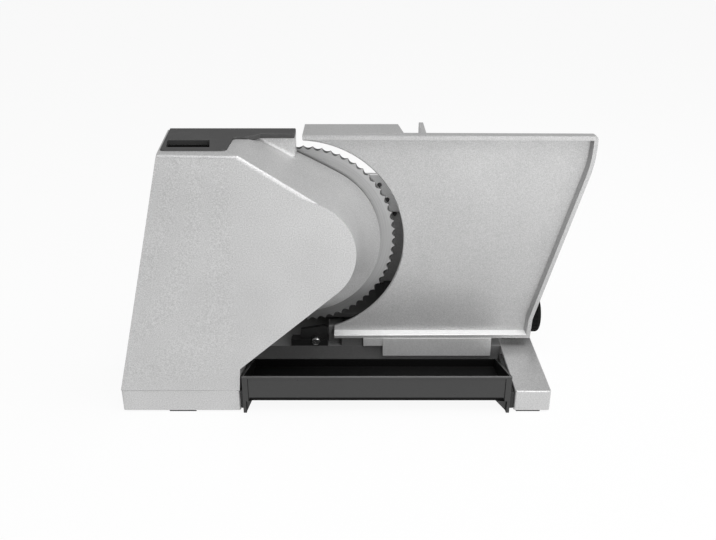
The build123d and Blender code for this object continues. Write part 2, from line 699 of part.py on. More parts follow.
def tray_rails():
    y0, y1 = FRONT_Y + EDGE_R, TRAY_BACK - TRAY_WALL
    left = box(PAN_X1, TRAY_X0 - GAP, y0, y1, GLIDE_Z0, GLIDE_Z1)
    right = box(TRAY_X1 + GAP, FOOT_X0, y0, y1, GLIDE_Z0, GLIDE_Z1 - EDGE_R)
    return [left, right]


def rubber_feet():
    feet = [box(x0, x1, PAD_Y0, PAD_Y1, 0, FOOT_H) for x0, x1 in (PAN_PAD, FOOT_PAD)]
    for x, y in REAR_FEET:
        feet.append(along_z(x, y, FOOT_R, 0, FOOT_H))
    return feet


def cable_gland():
    body = along_y(GLAND_X, GLAND_Z, GLAND_R, RIM_Y1 - WALL - 3.0, RIM_Y1 + 6.0)
    body += along_y(GLAND_X, GLAND_Z, GLAND_R + GLAND_FLANGE, RIM_Y1, RIM_Y1 + GLAND_FLANGE)
    return body - along_y(GLAND_X, GLAND_Z, CABLE_R, RIM_Y1 - WALL - 4.0, RIM_Y1 + 7.0)


def blade():
    back = BLADE_Y - BLADE_T
    ring = turned_y(
        (
            (SPIGOT_R + SEAT, back - DISH_DEPTH),
            (DISH_R - DISH_DEPTH, back - DISH_DEPTH),
            (DISH_R, back),
            (BLADE_R - BEVEL_W, back),
            (BLADE_R + 0.5, BLADE_Y - BLADE_EDGE_T),
            (BLADE_R + 0.5, BLADE_Y),
            (DISH_R, BLADE_Y),
            (DISH_R - DISH_DEPTH, BLADE_Y - DISH_DEPTH),
            (SPIGOT_R + SEAT, BLADE_Y - DISH_DEPTH),
        ),
        AXIS_X,
        AXIS_Z,
    )
    step = 2 * math.pi / SCALLOPS
    edges = []
    for i in range(SCALLOPS):
        points = []
        for part, r in ((0.0, BLADE_R), (0.5, BLADE_R - SCALLOP_DEPTH), (1.0, BLADE_R)):
            a = step * (i + part)
            points.append((AXIS_X + r * math.cos(a), AXIS_Z + r * math.sin(a)))
        edges.append(ThreePointArc(*points))
    outline = xz_plane(BLADE_Y + 1) * make_face(Curve() + edges)
    wave = extrude(outline, BLADE_T + DISH_DEPTH + 2, dir=(0, -1, 0))
    return ring & wave


def blade_gear():
    wheel = gear(AXIS_X, AXIS_Z, GEAR_M, GEAR_TEETH, 0.0, GEAR_Y0, GEAR_Y1)
    seat_y = BLADE_Y - BLADE_T - DISH_DEPTH
    wheel += along_y(AXIS_X, AXIS_Z, BUSH_R + 4.0, CHASSIS_Y1 + 1.0, GEAR_Y0)
    wheel += along_y(AXIS_X, AXIS_Z, BUSH_R + 7.0, GEAR_Y1, seat_y)
    wheel += along_y(AXIS_X, AXIS_Z, SPIGOT_R, seat_y - 1, BLADE_Y - DISH_DEPTH)
    wheel -= along_y(AXIS_X, AXIS_Z, BUSH_R + SEAT, CHASSIS_Y1, GEAR_Y1)
    wheel -= along_y(AXIS_X, AXIS_Z, LOCK_STUD_R + RUN, GEAR_Y1 + 2.0, BLADE_Y)
    for i in range(6):
        a = math.radians(60 * i + 30)
        x, z = AXIS_X + 28.0 * math.cos(a), AXIS_Z + 28.0 * math.sin(a)
        wheel -= along_y(x, z, 9.0, GEAR_Y0 - 1, GEAR_Y1 + 1)
    return wheel


def blade_bush():
    bush = along_y(AXIS_X, AXIS_Z, BUSH_R, CHASSIS_Y1 + 1.0, GEAR_Y1)
    return bush - along_y(AXIS_X, AXIS_Z, AXLE_R + RUN, CHASSIS_Y1, GEAR_Y1 + 1)


def blade_axle():
    return along_y(AXIS_X, AXIS_Z, AXLE_R, CHASSIS_Y0, GEAR_Y1 - 0.6)


def blade_lock():
    face = BLADE_Y - DISH_DEPTH
    disc = along_y(AXIS_X, AXIS_Z, LOCK_R, face, BLADE_Y - 0.4)
    disc += along_y(AXIS_X, AXIS_Z, LOCK_STUD_R, GEAR_Y1 + 2.3, face)
    slot = box(AXIS_X - 10.0, AXIS_X + 10.0, BLADE_Y - 1.6, BLADE_Y, AXIS_Z - 1.4, AXIS_Z + 1.4)
    return disc - slot


def idler_gear():
    half = 180.0 / PINION_TEETH
    both = gear(IDLER_X, AXIS_Z, WHEEL_M, WHEEL_TEETH, 0.0, WHEEL_Y0, WHEEL_Y1)
    both += gear(IDLER_X, AXIS_Z, GEAR_M, PINION_TEETH, half, WHEEL_Y1, GEAR_Y1 + 0.5)
    return both - along_y(IDLER_X, AXIS_Z, IDLER_AXLE_R + RUN, WHEEL_Y0 - 1, GEAR_Y1 + 2)


def idler_axle():
    return along_y(IDLER_X, AXIS_Z, IDLER_AXLE_R, CHASSIS_Y0, RIM_Y1 - 1)


def motor_case():
    can = along_y(MOTOR_X, AXIS_Z, MOTOR_R, MOTOR_Y0, CHASSIS_Y0)
    can -= along_y(MOTOR_X, AXIS_Z, MOTOR_R - CAN_T, MOTOR_Y0 + CAN_T, CHASSIS_Y0 - 5.0)
    return can - along_y(MOTOR_X, AXIS_Z, SHAFT_R + RUN, MOTOR_Y0 - 1, CHASSIS_Y0 + 1)


def motor_magnets():
    ring = along_y(MOTOR_X, AXIS_Z, MOTOR_R - CAN_T, CORE_Y0, CORE_Y1)
    ring -= along_y(MOTOR_X, AXIS_Z, CORE_R + 1.0, CORE_Y0 - 1, CORE_Y1 + 1)
    ring -= box(MOTOR_X - 6.0, MOTOR_X + 6.0, CORE_Y0 - 1, CORE_Y1 + 1, AXIS_Z - 30.0, AXIS_Z + 30.0)
    return ring


def armature():
    core = along_y(MOTOR_X, AXIS_Z, CORE_R, CORE_Y0, CORE_Y1)
    return core - along_y(MOTOR_X, AXIS_Z, SHAFT_R + SEAT, CORE_Y0 - 1, CORE_Y1 + 1)


def motor_shaft():
    return along_y(MOTOR_X, AXIS_Z, SHAFT_R, MOTOR_Y0 + 0.2, WHEEL_Y1 + 1.5)


def motor_pinion():
    half = 180.0 / PINION_TEETH
    pinion = gear(MOTOR_X, AXIS_Z, WHEEL_M, PINION_TEETH, half, WHEEL_Y0 - 0.4, WHEEL_Y1 + 1.0)
    return pinion - along_y(MOTOR_X, AXIS_Z, SHAFT_R + SEAT, WHEEL_Y0 - 2, WHEEL_Y1 + 3)


def plate_floor(inset, y):
    """Outline of the sunk field of the plate, inset from the outer edge and open at the cut-out."""
    run = (PLATE_X1 - PLATE_KNEE[0]) / (PLATE_BEND_Z - PLATE_KNEE[1])
    lean = inset * math.sqrt(1 + run ** 2)
    bend = (PLATE_X1 - inset, PLATE_BEND_Z + (lean - inset) / run)
    points = (
        (AXIS_X - CUT_R, PLATE_TOP - inset),
        (PLATE_X1 - inset, PLATE_TOP - PLATE_TOP_DROP - inset),
        bend,
        (PLATE_KNEE[0] - lean, PLATE_KNEE[1]),
        (PLATE_BOTTOM_X - inset, PLATE_Z0 + inset),
        (AXIS_X - CUT_R, PLATE_Z0 + inset),
    )
    face = Polygon(*points, align=None)
    corner = face.vertices().sort_by_distance((bend[0], bend[1], 0))[:1]
    return xz_plane(y) * fillet(corner, PLATE_BEND_R - inset)


def stop_plate():
    top_arc_z = CUT_Z + math.sqrt(CUT_R ** 2 - (PLATE_X0 - AXIS_X) ** 2)
    low_arc_z = PLATE_Z0 + PLATE_LOW_H
    low_x = AXIS_X + math.sqrt(CUT_R ** 2 - (CUT_Z - low_arc_z) ** 2)
    edges = [
        Line((PLATE_X0, top_arc_z), (PLATE_X0, PLATE_TOP)),
        Line((PLATE_X0, PLATE_TOP), (PLATE_X1, PLATE_TOP - PLATE_TOP_DROP)),
        Line((PLATE_X1, PLATE_TOP - PLATE_TOP_DROP), (PLATE_X1, PLATE_BEND_Z)),
        Line((PLATE_X1, PLATE_BEND_Z), PLATE_KNEE),
        Line(PLATE_KNEE, (PLATE_BOTTOM_X, PLATE_Z0)),
        Line((PLATE_BOTTOM_X, PLATE_Z0), (low_x, PLATE_Z0)),
        Line((low_x, PLATE_Z0), (low_x, low_arc_z)),
        ThreePointArc((low_x, low_arc_z), (AXIS_X + CUT_R, CUT_Z), (PLATE_X0, top_arc_z)),
    ]
    outline = xz_plane(BLADE_Y) * make_face(Curve() + edges)
    plate = extrude(outline, BLADE_Y - PLATE_RIM_Y, dir=(0, -1, 0))
    plate = fillet(plate.edges().filter_by(Axis.Y).group_by(Axis.X)[-1].sort_by(Axis.Z)[:1], PLATE_BEND_R)
    plate = fillet(plate.edges().filter_by(Axis.Y).group_by(Axis.X)[-1].sort_by(Axis.Z)[-1:], PLATE_CORNER_R)
    floor_y = BLADE_Y - PLATE_T
    plate -= loft([plate_floor(RIM_W + RIM_SLOPE, floor_y), plate_floor(RIM_W, PLATE_RIM_Y)], ruled=True)
    plate += prism_xy(
        (
            (PLATE_X0, BLADE_Y - PLATE_T),
            (SHELF_X1, BLADE_Y - PLATE_T),
            (SHELF_X1, BLADE_Y),
            (SHELF_X2, SHELF_Y1),
            (PLATE_X0, SHELF_Y1),
        ),
        PLATE_TOP - SHELF_T,
        PLATE_TOP,
    )
    for x in PLATE_SCREW_XS:
        plate -= along_z(x, PLATE_SCREW_Y, M4_R + SEAT, PLATE_Z0 - 1, PLATE_SCREW_TIP + 0.2)
    for z in RACK_SCREW_ZS:
        plate -= along_y(rack_middle(), z, M4_R + SEAT, BLADE_Y - 2.0, BLADE_Y + 1)
    return plate


def plate_carrier():
    block = box(CARRIER_X0, CARRIER_X1, CARRIER_Y0, BEAM_Y - GAP, CARRIER_Z0, PLATE_Z0)
    block += box(CARRIER_X0, CARRIER_X1, BEAM_Y - 1, CARRIER_Y1, PLATE_Z0 - CARRIER_T, PLATE_Z0)
    block += box(EAR_X0, CARRIER_X0 + 1, EAR_Y0, BEAM_Y - GAP, EAR_Z0, PLATE_Z0)
    for x in ROD_XS:
        block -= along_y(x, ROD_Z, ROD_R + SEAT, ROD_Y0, BEAM_Y)
    for x in PLATE_SCREW_XS:
        block -= along_z(x, PLATE_SCREW_Y, M4_R + SEAT, PLATE_Z0 - CARRIER_T - 1, PLATE_Z0 + 1)
        block -= along_z(x, PLATE_SCREW_Y, M4_HEAD_R + HEAD_ROOM, CARRIER_Z0 - 1, PLATE_Z0 - CARRIER_T + M4_HEAD)
    return block


def guide_rods():
    return [along_y(x, ROD_Z, ROD_R, ROD_Y0, ROD_Y1) for x in ROD_XS]


def rod_bushes():
    bushes = []
    for x in ROD_XS:
        sleeve = along_y(x, ROD_Z, ROD_BUSH_R, BEAM_Y, ROD_BUSH_Y1)
        bushes.append(sleeve - along_y(x, ROD_Z, ROD_R + RUN, BEAM_Y - 1, ROD_BUSH_Y1 + 1))
    return bushes


def plate_screws():
    seat = PLATE_Z0 - CARRIER_T + M4_HEAD
    return [screw_z(x, PLATE_SCREW_Y, seat, PLATE_SCREW_TIP) for x in PLATE_SCREW_XS]


def rack_middle():
    return (DRIVE_X0 + DRIVE_X1) / 2


def rack_outline():
    """Toothed bar over the pinion as (y, z), with a tooth space over the knob axis."""
    line_z = KNOB_Z + DRIVE_R
    pitch = math.pi * DRIVE_M
    lean = math.tan(math.radians(20))
    half = DRIVE_M * (math.pi / 4 - BACKLASH / 2)
    tip, root = ADDENDUM * DRIVE_M, DEDENDUM * DRIVE_M
    points = [(BLADE_Y, line_z + RACK_T), (BLADE_Y, line_z + root)]
    for i in range(RACK_PITCHES):
        y = KNOB_Y + pitch * (i - 1.5)
        points.append((y - half - root * lean, line_z + root))
        points.append((y - half + tip * lean, line_z - tip))
        points.append((y + half - tip * lean, line_z - tip))
        points.append((y + half + root * lean, line_z + root))
    end = KNOB_Y + pitch * (RACK_PITCHES - 1)
    return points + [(end, line_z + root), (end, line_z + RACK_T)]


def rack_bar():
    z0 = KNOB_Z + DRIVE_R + DEDENDUM * DRIVE_M
    bar = prism_yz(rack_outline(), DRIVE_X0, DRIVE_X1)
    bar += box(DRIVE_X0, DRIVE_X1, BLADE_Y, BLADE_Y + RACK_ARM_T, z0, z0 + RACK_ARM_H)
    for z in RACK_SCREW_ZS:
        bar -= along_y(rack_middle(), z, M4_R + SEAT, BLADE_Y - 1, BLADE_Y + RACK_ARM_T + 1)
    return bar


def rack_screws():
    return [screw_y(rack_middle(), z, BLADE_Y + RACK_ARM_T, BLADE_Y - 1.8) for z in RACK_SCREW_ZS]


def knob_post():
    low, high = KNOB_Y - POST_HALF, KNOB_Y + POST_HALF
    post = box(POST_X0, POST_X1, low, min(high, FOOT_Y1), DECK_Z, KNOB_Z)
    post += along_x(KNOB_Y, KNOB_Z, POST_HALF, POST_X0, POST_X1)
    post += box(POST_BASE_X0, POST_X1, POST_BASE_Y0, FOOT_Y1 - 2 * EDGE_R, DECK_Z, DECK_Z + POST_BASE_T)
    post -= along_x(KNOB_Y, KNOB_Z, SPINDLE_R + RUN, POST_X0 - 1, POST_X1 + 1)
    for y in POST_SCREW_YS:
        post -= along_z(POST_SCREW_X, y, M4_R + SEAT, DECK_Z - 1, DECK_Z + POST_BASE_T + 1)
    return post


def knob_spindle():
    plane = Plane((DRIVE_X0, 0, 0), x_dir=(0, 1, 0), z_dir=(1, 0, 0))
    face = plane * gear_face(DRIVE_M, DRIVE_TEETH, 90.0)
    spindle = Pos(0, KNOB_Y, KNOB_Z) * extrude(face, DRIVE_X1 - DRIVE_X0, dir=(1, 0, 0))
    spindle += along_x(KNOB_Y, KNOB_Z, SPINDLE_COLLAR_R, DRIVE_X1, POST_X0 - GAP)
    return spindle + along_x(KNOB_Y, KNOB_Z, SPINDLE_R, DRIVE_X1, KNOB_X0 + KNOB_SEAT_L)


def thickness_knob():
    knob = along_x(KNOB_Y, KNOB_Z, KNOB_R, KNOB_X0, KNOB_X1)
    ends = knob.edges().group_by(Axis.X)
    knob = fillet(ends[-1], KNOB_END_R)
    for i in range(KNOB_FLUTES):
        a = 2 * math.pi * i / KNOB_FLUTES
        reach = KNOB_R + FLUTE_R - FLUTE_DEPTH
        y, z = KNOB_Y + reach * math.cos(a), KNOB_Z + reach * math.sin(a)
        knob -= along_x(y, z, FLUTE_R, KNOB_X0 - 1, KNOB_X1 - KNOB_END_R)
    knob += along_x(KNOB_Y, KNOB_Z, KNOB_HUB_R, POST_X1 + GAP, KNOB_X0 + 1)
    half = POINTER_W / 2
    end = KNOB_X1 + POINTER_T
    knob += box(KNOB_X1 - 1, end, KNOB_Y - half, KNOB_Y + half, KNOB_Z + KNOB_HUB_R, KNOB_Z + KNOB_R - KNOB_END_R)
    return knob - along_x(KNOB_Y, KNOB_Z, SPINDLE_R + SEAT, POST_X1, KNOB_X0 + KNOB_SEAT_L)


def lower_guard():
    wall_y = BEAM_Y + GUARD_STEP_Y
    back = wall_y + GUARD_PLATE_T
    guard = box(GUARD_PLATE_X0, GUARD_PLATE_X1, BEAM_Y, back, DECK_Z, GUARD_STEP_Z)
    outline = ((GUARD_WALL_X0, GUARD_STEP_Z - 1),) + GUARD_WALL_TOP + ((GUARD_PLATE_X1, GUARD_STEP_Z - 1),)
    guard += prism_xz(outline, wall_y, back)
    guard += along_y(GUARD_SCREW[0], GUARD_SCREW[1], GUARD_BOSS_R, BEAM_Y, back)
    ledge_top = DECK_Z + GUARD_LEDGE_T
    guard += box(GUARD_PLATE_X0, GUARD_PLATE_X1, back - 1, BEAM_Y + GUARD_LEDGE_Y, DECK_Z, ledge_top)
    return guard - along_y(GUARD_SCREW[0], GUARD_SCREW[1], M4_R + SEAT, BEAM_Y - 1, back + 1)


def guard_screw():
    return screw_y(GUARD_SCREW[0], GUARD_SCREW[1], BEAM_Y, BEAM_Y + 6.0)


def guide_block():
    x0 = GUARD_PLATE_X1 + GUIDE_BLOCK_GAP
    x1 = EAR_X0 - GUIDE_BLOCK_GAP
    low = box(GUIDE_STEP_X - 1, x1, BEAM_Y, BEAM_Y + GUIDE_BLOCK_L, DECK_Z, PLATE_Z0 - GAP)
    tall = box(x0, GUIDE_STEP_X, BLADE_Y + 2 * GAP, GUIDE_TALL_Y1, DECK_Z, GUIDE_TALL_TOP)
    low = chamfer(low.edges().group_by(Axis.Z)[-1], 0.8)
    return low + chamfer(tall.edges().group_by(Axis.Z)[-1], 0.8)


def carriage_rail():
    rail = box(RAIL_X0, RAIL_X1, RAIL_Y - RAIL_STEM_W / 2, RAIL_Y + RAIL_STEM_W / 2, DECK_Z, RAIL_HEAD_Z)
    half = RAIL_HEAD_W / 2
    rail += box(RAIL_X0, RAIL_X1, RAIL_Y - half, RAIL_Y + half, RAIL_HEAD_Z, RAIL_TOP)
    for x in RAIL_SCREW_XS:
        rail -= along_z(x, RAIL_Y, M4_R + SEAT, DECK_Z - 1, RAIL_TOP + 1)
        rail -= along_z(x, RAIL_Y, M4_HEAD_R + HEAD_ROOM, RAIL_TOP - M4_HEAD - 0.4, RAIL_TOP + 1)
    return rail


def rail_screws():
    seat = RAIL_TOP - M4_HEAD - 0.4
    return [screw_z(x, RAIL_Y, seat, DECK_Z - 9.0) for x in RAIL_SCREW_XS]


def carriage_slider():
    half = SLIDER_W / 2
    shoe = box(SLIDER_X0, SLIDER_X1, RAIL_Y - half, RAIL_Y + half, SLIDER_Z0, FLOOR_Z0)
    head = RAIL_HEAD_W / 2 + GAP
    stem = RAIL_STEM_W / 2 + GAP
    shoe -= box(
        SLIDER_X0 - 1, SLIDER_X1 + 1, RAIL_Y - head, RAIL_Y + head, RAIL_HEAD_Z - GAP, RAIL_TOP + GAP
    )
    shoe -= box(SLIDER_X0 - 1, SLIDER_X1 + 1, RAIL_Y - stem, RAIL_Y + stem, SLIDER_Z0 - 1, RAIL_HEAD_Z)
    for x in SLIDER_SCREW_XS:
        shoe -= along_z(x, RAIL_Y, M4_R + SEAT, FLOOR_Z0 - SLIDER_SCREW_L - TAP_ROOM, FLOOR_Z0 + 1)
    return shoe


def carriage():
    floor = box(FLOOR_X0, FLOOR_X1, FLOOR_Y0, FLOOR_Y1, FLOOR_Z0, FLOOR_Z1)
    floor = fillet(floor.edges().filter_by(Axis.Z).group_by(Axis.Y)[-1], 8.0)
    floor += box(FLOOR_X0 + 8.0, GUARD_X0, FLOOR_Y1 - 3.0, FLOOR_Y1, FLOOR_Z1 - 1, LIP_Z)
    floor -= box(KEYWAY_X0, KEYWAY_X1, FLOOR_Y0 + 4.0, FLOOR_Y1 - 4.0, FLOOR_Z1 - KEYWAY_DEPTH, FLOOR_Z1 + 1)
    for x in SLIDER_SCREW_XS:
        floor -= along_z(x, RAIL_Y, M4_R + SEAT, FLOOR_Z0 - 1, FLOOR_Z1 + 1)
        floor -= along_z(x, RAIL_Y, M4_HEAD_R + HEAD_ROOM, FLOOR_Z1 - M4_HEAD - 0.2, FLOOR_Z1 + 1)
    for y in GUARD_SCREW_YS:
        floor -= along_z(GUARD_SCREW_X, y, M4_R + SEAT, FLOOR_Z0 - 1, FLOOR_Z1 + 1)
    return floor


def slider_screws():
    seat = FLOOR_Z1 - M4_HEAD - 0.2
    return [screw_z(x, RAIL_Y, seat, FLOOR_Z0 - SLIDER_SCREW_L) for x in SLIDER_SCREW_XS]


def thumb_guard():
    wall = prism_yz(
        (
            (GUARD_Y0, FLOOR_Z1),
            (GUARD_Y0, GUARD_TOP - GUARD_SHOULDER),
            (GUARD_Y0 + GUARD_SHOULDER, GUARD_TOP),
            (GUARD_Y1, GUARD_TOP),
            (GUARD_Y1, FLOOR_Z1),
        ),
        GUARD_X0,
        GUARD_X1,
    )
    wall = fillet(wall.edges().filter_by(Axis.X).group_by(Axis.Z)[-1], 6.0)
    top = FLOOR_Z1 + GUARD_FLANGE_T
    wall += box(GUARD_X1 - 1, GUARD_X1 + GUARD_FLANGE, GUARD_Y0, GUARD_Y1, FLOOR_Z1, top)
    for y in GUARD_SCREW_YS:
        wall -= along_z(GUARD_SCREW_X, y, M4_R + SEAT, FLOOR_Z1 - 1, top + 1)
    return wall


def guard_screws():
    return [screw_z(GUARD_SCREW_X, y, FLOOR_Z1 + GUARD_FLANGE_T, FLOOR_Z0 + 0.2) for y in GUARD_SCREW_YS]


def holder_body():
    z0 = FLOOR_Z1 + GAP
    wall = box(HOLDER_X0, HOLDER_X1, HOLDER_Y, HOLDER_Y + HOLDER_T, z0, HOLDER_TOP)
    end = HOLDER_Y + HOLDER_FOOT_L
    wall += box(HOLDER_X0, HOLDER_X1, HOLDER_Y, end, z0, z0 + HOLDER_RIB)
    rib = ((HOLDER_Y + 1, z0 + 1), (end, z0 + 1), (HOLDER_Y + 1, HOLDER_TOP - 2 * HOLDER_RIB))
    for x in (HOLDER_X0 + 2 * HOLDER_RIB, HOLDER_X1 - 3 * HOLDER_RIB):
        wall += prism_yz(rib, x, x + HOLDER_RIB)
    key_z0 = FLOOR_Z1 - KEYWAY_DEPTH + GAP
    wall += box(KEYWAY_X0 + GAP, KEYWAY_X1 - GAP, HOLDER_Y, end, key_z0, z0 + 1)
    middle = (KEYWAY_X0 + KEYWAY_X1) / 2
    grip_z = HOLDER_TOP - GRIP_DROP
    wall += along_y(middle, grip_z, GRIP_STEM_R, HOLDER_Y + 1, end - GRIP_T + 1)
    grip = along_y(middle, grip_z, GRIP_R, end - GRIP_T, end)
    return wall + fillet(grip.edges(), HOLDER_RIB)


def holder_face():
    plate = box(HOLDER_X0, HOLDER_X1, HOLDER_Y - FACE_T, HOLDER_Y, FACE_Z0, HOLDER_TOP)
    return plate


def holder_spikes():
    spikes = []
    first_x = (HOLDER_X0 + HOLDER_X1 - SPIKE_STEP * (SPIKE_COLUMNS - 1)) / 2
    for row in range(SPIKE_ROWS):
        shift = row % 2
        z = HOLDER_TOP - SPIKE_EDGE - SPIKE_STEP * row
        foot_y = HOLDER_Y if z < FACE_Z0 else HOLDER_Y - FACE_T
        for column in range(SPIKE_COLUMNS - shift):
            x = first_x + SPIKE_STEP * (column + shift / 2)
            spike = Rot(90, 0, 0) * Cone(SPIKE_R, SPIKE_TIP_R, SPIKE_L)
            spikes.append(Pos(x, foot_y - SPIKE_L / 2, z) * spike)
    return spikes


def collection_tray():
    tray = prism_yz(
        (
            (TRAY_FRONT, TRAY_FLOOR_FRONT),
            (TRAY_FRONT, TRAY_RIM_FRONT),
            (TRAY_BACK, TRAY_RIM_BACK),
            (TRAY_BACK, TRAY_FLOOR_BACK),
        ),
        TRAY_X0,
        TRAY_X1,
    )
    inner_y, inner_z = TRAY_FRONT + TRAY_WALL, TRAY_FLOOR_FRONT + TRAY_WALL
    tray -= prism_yz(
        (
            (inner_y + TRAY_BAND_DEPTH, inner_z),
            (inner_y, inner_z + TRAY_BAND_DEPTH),
            (inner_y, TRAY_RIM_FRONT + 9),
            (TRAY_BACK - TRAY_WALL, TRAY_RIM_BACK + 9),
            (TRAY_BACK - TRAY_WALL, TRAY_FLOOR_BACK + TRAY_WALL),
        ),
        TRAY_X0 + TRAY_WALL,
        TRAY_X1 - TRAY_WALL,
    )
    front_y = TRAY_FRONT + TRAY_RECESS
    tray -= prism_yz(
        (
            (TRAY_FRONT - 1, TRAY_RIM_FRONT - TRAY_LIP),
            (front_y, TRAY_RIM_FRONT - TRAY_LIP),
            (front_y, TRAY_FLOOR_FRONT + TRAY_BAND),
            (front_y + TRAY_BAND_DEPTH, TRAY_FLOOR_FRONT - TRAY_RECESS),
            (TRAY_FRONT - 1, TRAY_FLOOR_FRONT - TRAY_RECESS),
        ),
        TRAY_X0 + TRAY_CHEEK,
        TRAY_X1 - TRAY_CHEEK,
    )
    front_skid = (
        (TRAY_FRONT, 0),
        (SKID_Y1, 0),
        (SKID_Y1 + 2 * SKID_W, TRAY_FLOOR_FRONT - SKID_W),
        (TRAY_FRONT, TRAY_FLOOR_FRONT + 1),
    )
    for end, way, width in ((TRAY_X0, 1, SKID_WEBS[0]), (TRAY_X1, -1, SKID_WEBS[1])):
        x0 = min(end, end + way * SKID_W)
        tray += prism_yz(front_skid, x0, x0 + SKID_W)
        tray += prism_yz(REAR_SKID, x0, x0 + SKID_W)
        web = (
            (end + way, TRAY_FLOOR_FRONT),
            (end + way * width, TRAY_FLOOR_FRONT),
            (end + way * SKID_W, 0.5),
            (end + way, 0.5),
        )
        web_y = front_y + TRAY_BAND_DEPTH
        tray += prism_xz(web, web_y, web_y + TRAY_WALL)
    return tray


def gearbox_screws():
    return [screw_y(x, z, CHASSIS_Y1, CHASSIS_Y0 - GEARBOX_SCREW_L) for x, z in CHASSIS_POINTS]


def rear_screws():
    return [screw_y(x, z, RIM_Y1, RIM_Y0 - REAR_SCREW_L) for x, z in REAR_POINTS]


def cover_screws():
    return [screw_z(x, y, FOOT_H + COVER_SEAT, SEAM_Z + COVER_SCREW_L) for x, y in COVER_POINTS]


def frame_screws():
    screws = [screw_y(x, FRAME_SCREW_Z, RIM_Y1 + WALL, RIM_Y1 - WALL) for x in PAN_SCREW_XS]
    for y in FOOT_SCREW_YS:
        shank = along_x(y, FRAME_SCREW_Z, M4_R, FOOT_X0 - WALL, FOOT_X0 + WALL)
        head = along_x(y, FRAME_SCREW_Z, M4_HEAD_R, FOOT_X0 - WALL - M4_HEAD, FOOT_X0 - WALL)
        screws.append(shank + head)
    for y in POST_SCREW_YS:
        screws.append(screw_z(POST_SCREW_X, y, DECK_Z - WALL, DECK_Z + POST_BASE_T))
    return screws


NODES = (
    motor_housing,
    rear_plate,
    gearbox_plate,
    top_panel,
    switch_button,
    switch_block,
    base_pan,
    bottom_cover,
    cross_beam,
    right_foot,
    tray_rails,
    rubber_feet,
    cable_gland,
    blade,
    blade_gear,
    blade_bush,
    blade_axle,
    blade_lock,
    idler_gear,
    idler_axle,
    motor_case,
    motor_magnets,
    armature,
    motor_shaft,
    motor_pinion,
    stop_plate,
    plate_carrier,
    guide_rods,
    rod_bushes,
    plate_screws,
    rack_bar,
    rack_screws,
    knob_post,
    knob_spindle,
    thickness_knob,
    lower_guard,
    guard_screw,
    guide_block,
    carriage_rail,
    rail_screws,
    carriage_slider,
    carriage,
    slider_screws,
    thumb_guard,
    guard_screws,
    holder_body,
    holder_face,
    holder_spikes,
    collection_tray,
    gearbox_screws,
    rear_screws,
    cover_screws,
    frame_screws,
)

os.makedirs("parts", exist_ok=True)
for make in NODES:
    made = make()
    if isinstance(made, list):
        made = Compound(children=[Solid(s.solid().wrapped) for s in made])
    export_step(made, os.path.join("parts", make.__name__ + ".step"))
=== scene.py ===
import json
import math

import bmesh
import bpy
from mathutils import Matrix, Vector


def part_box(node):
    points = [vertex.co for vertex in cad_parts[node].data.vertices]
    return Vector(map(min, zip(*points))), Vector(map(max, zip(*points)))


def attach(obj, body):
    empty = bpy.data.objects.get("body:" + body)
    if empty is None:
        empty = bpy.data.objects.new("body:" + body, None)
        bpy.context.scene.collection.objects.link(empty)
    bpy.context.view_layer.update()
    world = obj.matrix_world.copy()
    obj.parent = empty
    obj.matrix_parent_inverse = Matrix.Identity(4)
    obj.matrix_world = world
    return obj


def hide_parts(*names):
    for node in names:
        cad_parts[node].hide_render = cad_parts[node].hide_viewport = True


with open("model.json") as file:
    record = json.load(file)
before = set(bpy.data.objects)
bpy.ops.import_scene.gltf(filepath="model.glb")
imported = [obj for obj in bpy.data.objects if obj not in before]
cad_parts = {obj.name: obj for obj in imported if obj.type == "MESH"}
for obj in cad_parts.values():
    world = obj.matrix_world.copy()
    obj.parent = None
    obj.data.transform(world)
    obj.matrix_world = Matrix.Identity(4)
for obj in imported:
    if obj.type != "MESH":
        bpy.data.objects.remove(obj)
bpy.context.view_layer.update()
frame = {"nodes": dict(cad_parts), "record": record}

MM = 0.001
# A point closer than this to a plane lies on it
NEAR = 0.05 * MM

# Camera at the viewing angle of the photograph
CAMERA_AT = (0.0, -674 * MM, 390 * MM)
CAMERA_DOWN = math.radians(24.5)
CAMERA_LENS = 39.72
CAMERA_SENSOR = 36
CAMERA_CLIP = 0.01

# Lamps: place and target, width and height, all in metres, and power in watts
LAMPS = {
    "overhead": ((0.3, -0.4, 1.25), (0, -0.05, 0.1), (1.6, 0.8), 14),
    "front_right": ((0.7, -1.5, 0.75), (0, -0.05, 0.12), (0.9, 0.9), 4.2),
    "right_side": ((1.5, -0.62, 0.35), (0, -0.1, 0.12), (0.5, 0.8), 5),
    "low_front": ((0.5, -1.7, 0.15), (0, -0.05, 0.15), (0.4, 0.2), 4.6),
}
WORLD_LIGHT = 0.34
FLOOR_HALF = 6
FLOOR_GREY = 0.85
FLOOR_ROUGH = 0.9
# Share of plain white in the floor as the camera, metal and glass see it;
# the rest keeps the object's shadow
FLOOR_WHITE = 0.92

# Axis of the blade in metres, and its sizes in millimetres, as in the part's source
AXIS_X = -50 * MM
AXIS_Z = 126.8 * MM
BLADE_R = 83.2
BLADE_Y = -26.0
BLADE_T = 1.5
BEVEL_W = 12.0
BEVEL_PAST = 0.5
EDGE_T = 0.4
DISH_R = 32.0
DISH_DEPTH = 2.5
BORE_R = 9.02
WAVES = 66
WAVE_DEPTH = 1.6
# Hollow that is ground into each wave, points along a wave, and edges shaded smooth in degrees
HOLLOW_DEPTH = 1.5
WAVE_STEPS = 12
BLADE_SMOOTH = 8

# Cut-out of the stop plate round the blade, as in the part's source
CUT_R = 90.2 * MM
CUT_Z = 124.5 * MM

# Head and shank of the screws, as in the part's source, and steps round them
SCREW_HEAD = 2.4 * MM
SCREW_SHANK_R = 2.0 * MM
SCREW_STEPS = 24

# Edges that turn by more than this get rounded
SHARP = math.radians(35)
# Neighbouring triangles that turn by less than this are one face
FLAT = math.radians(0.4)
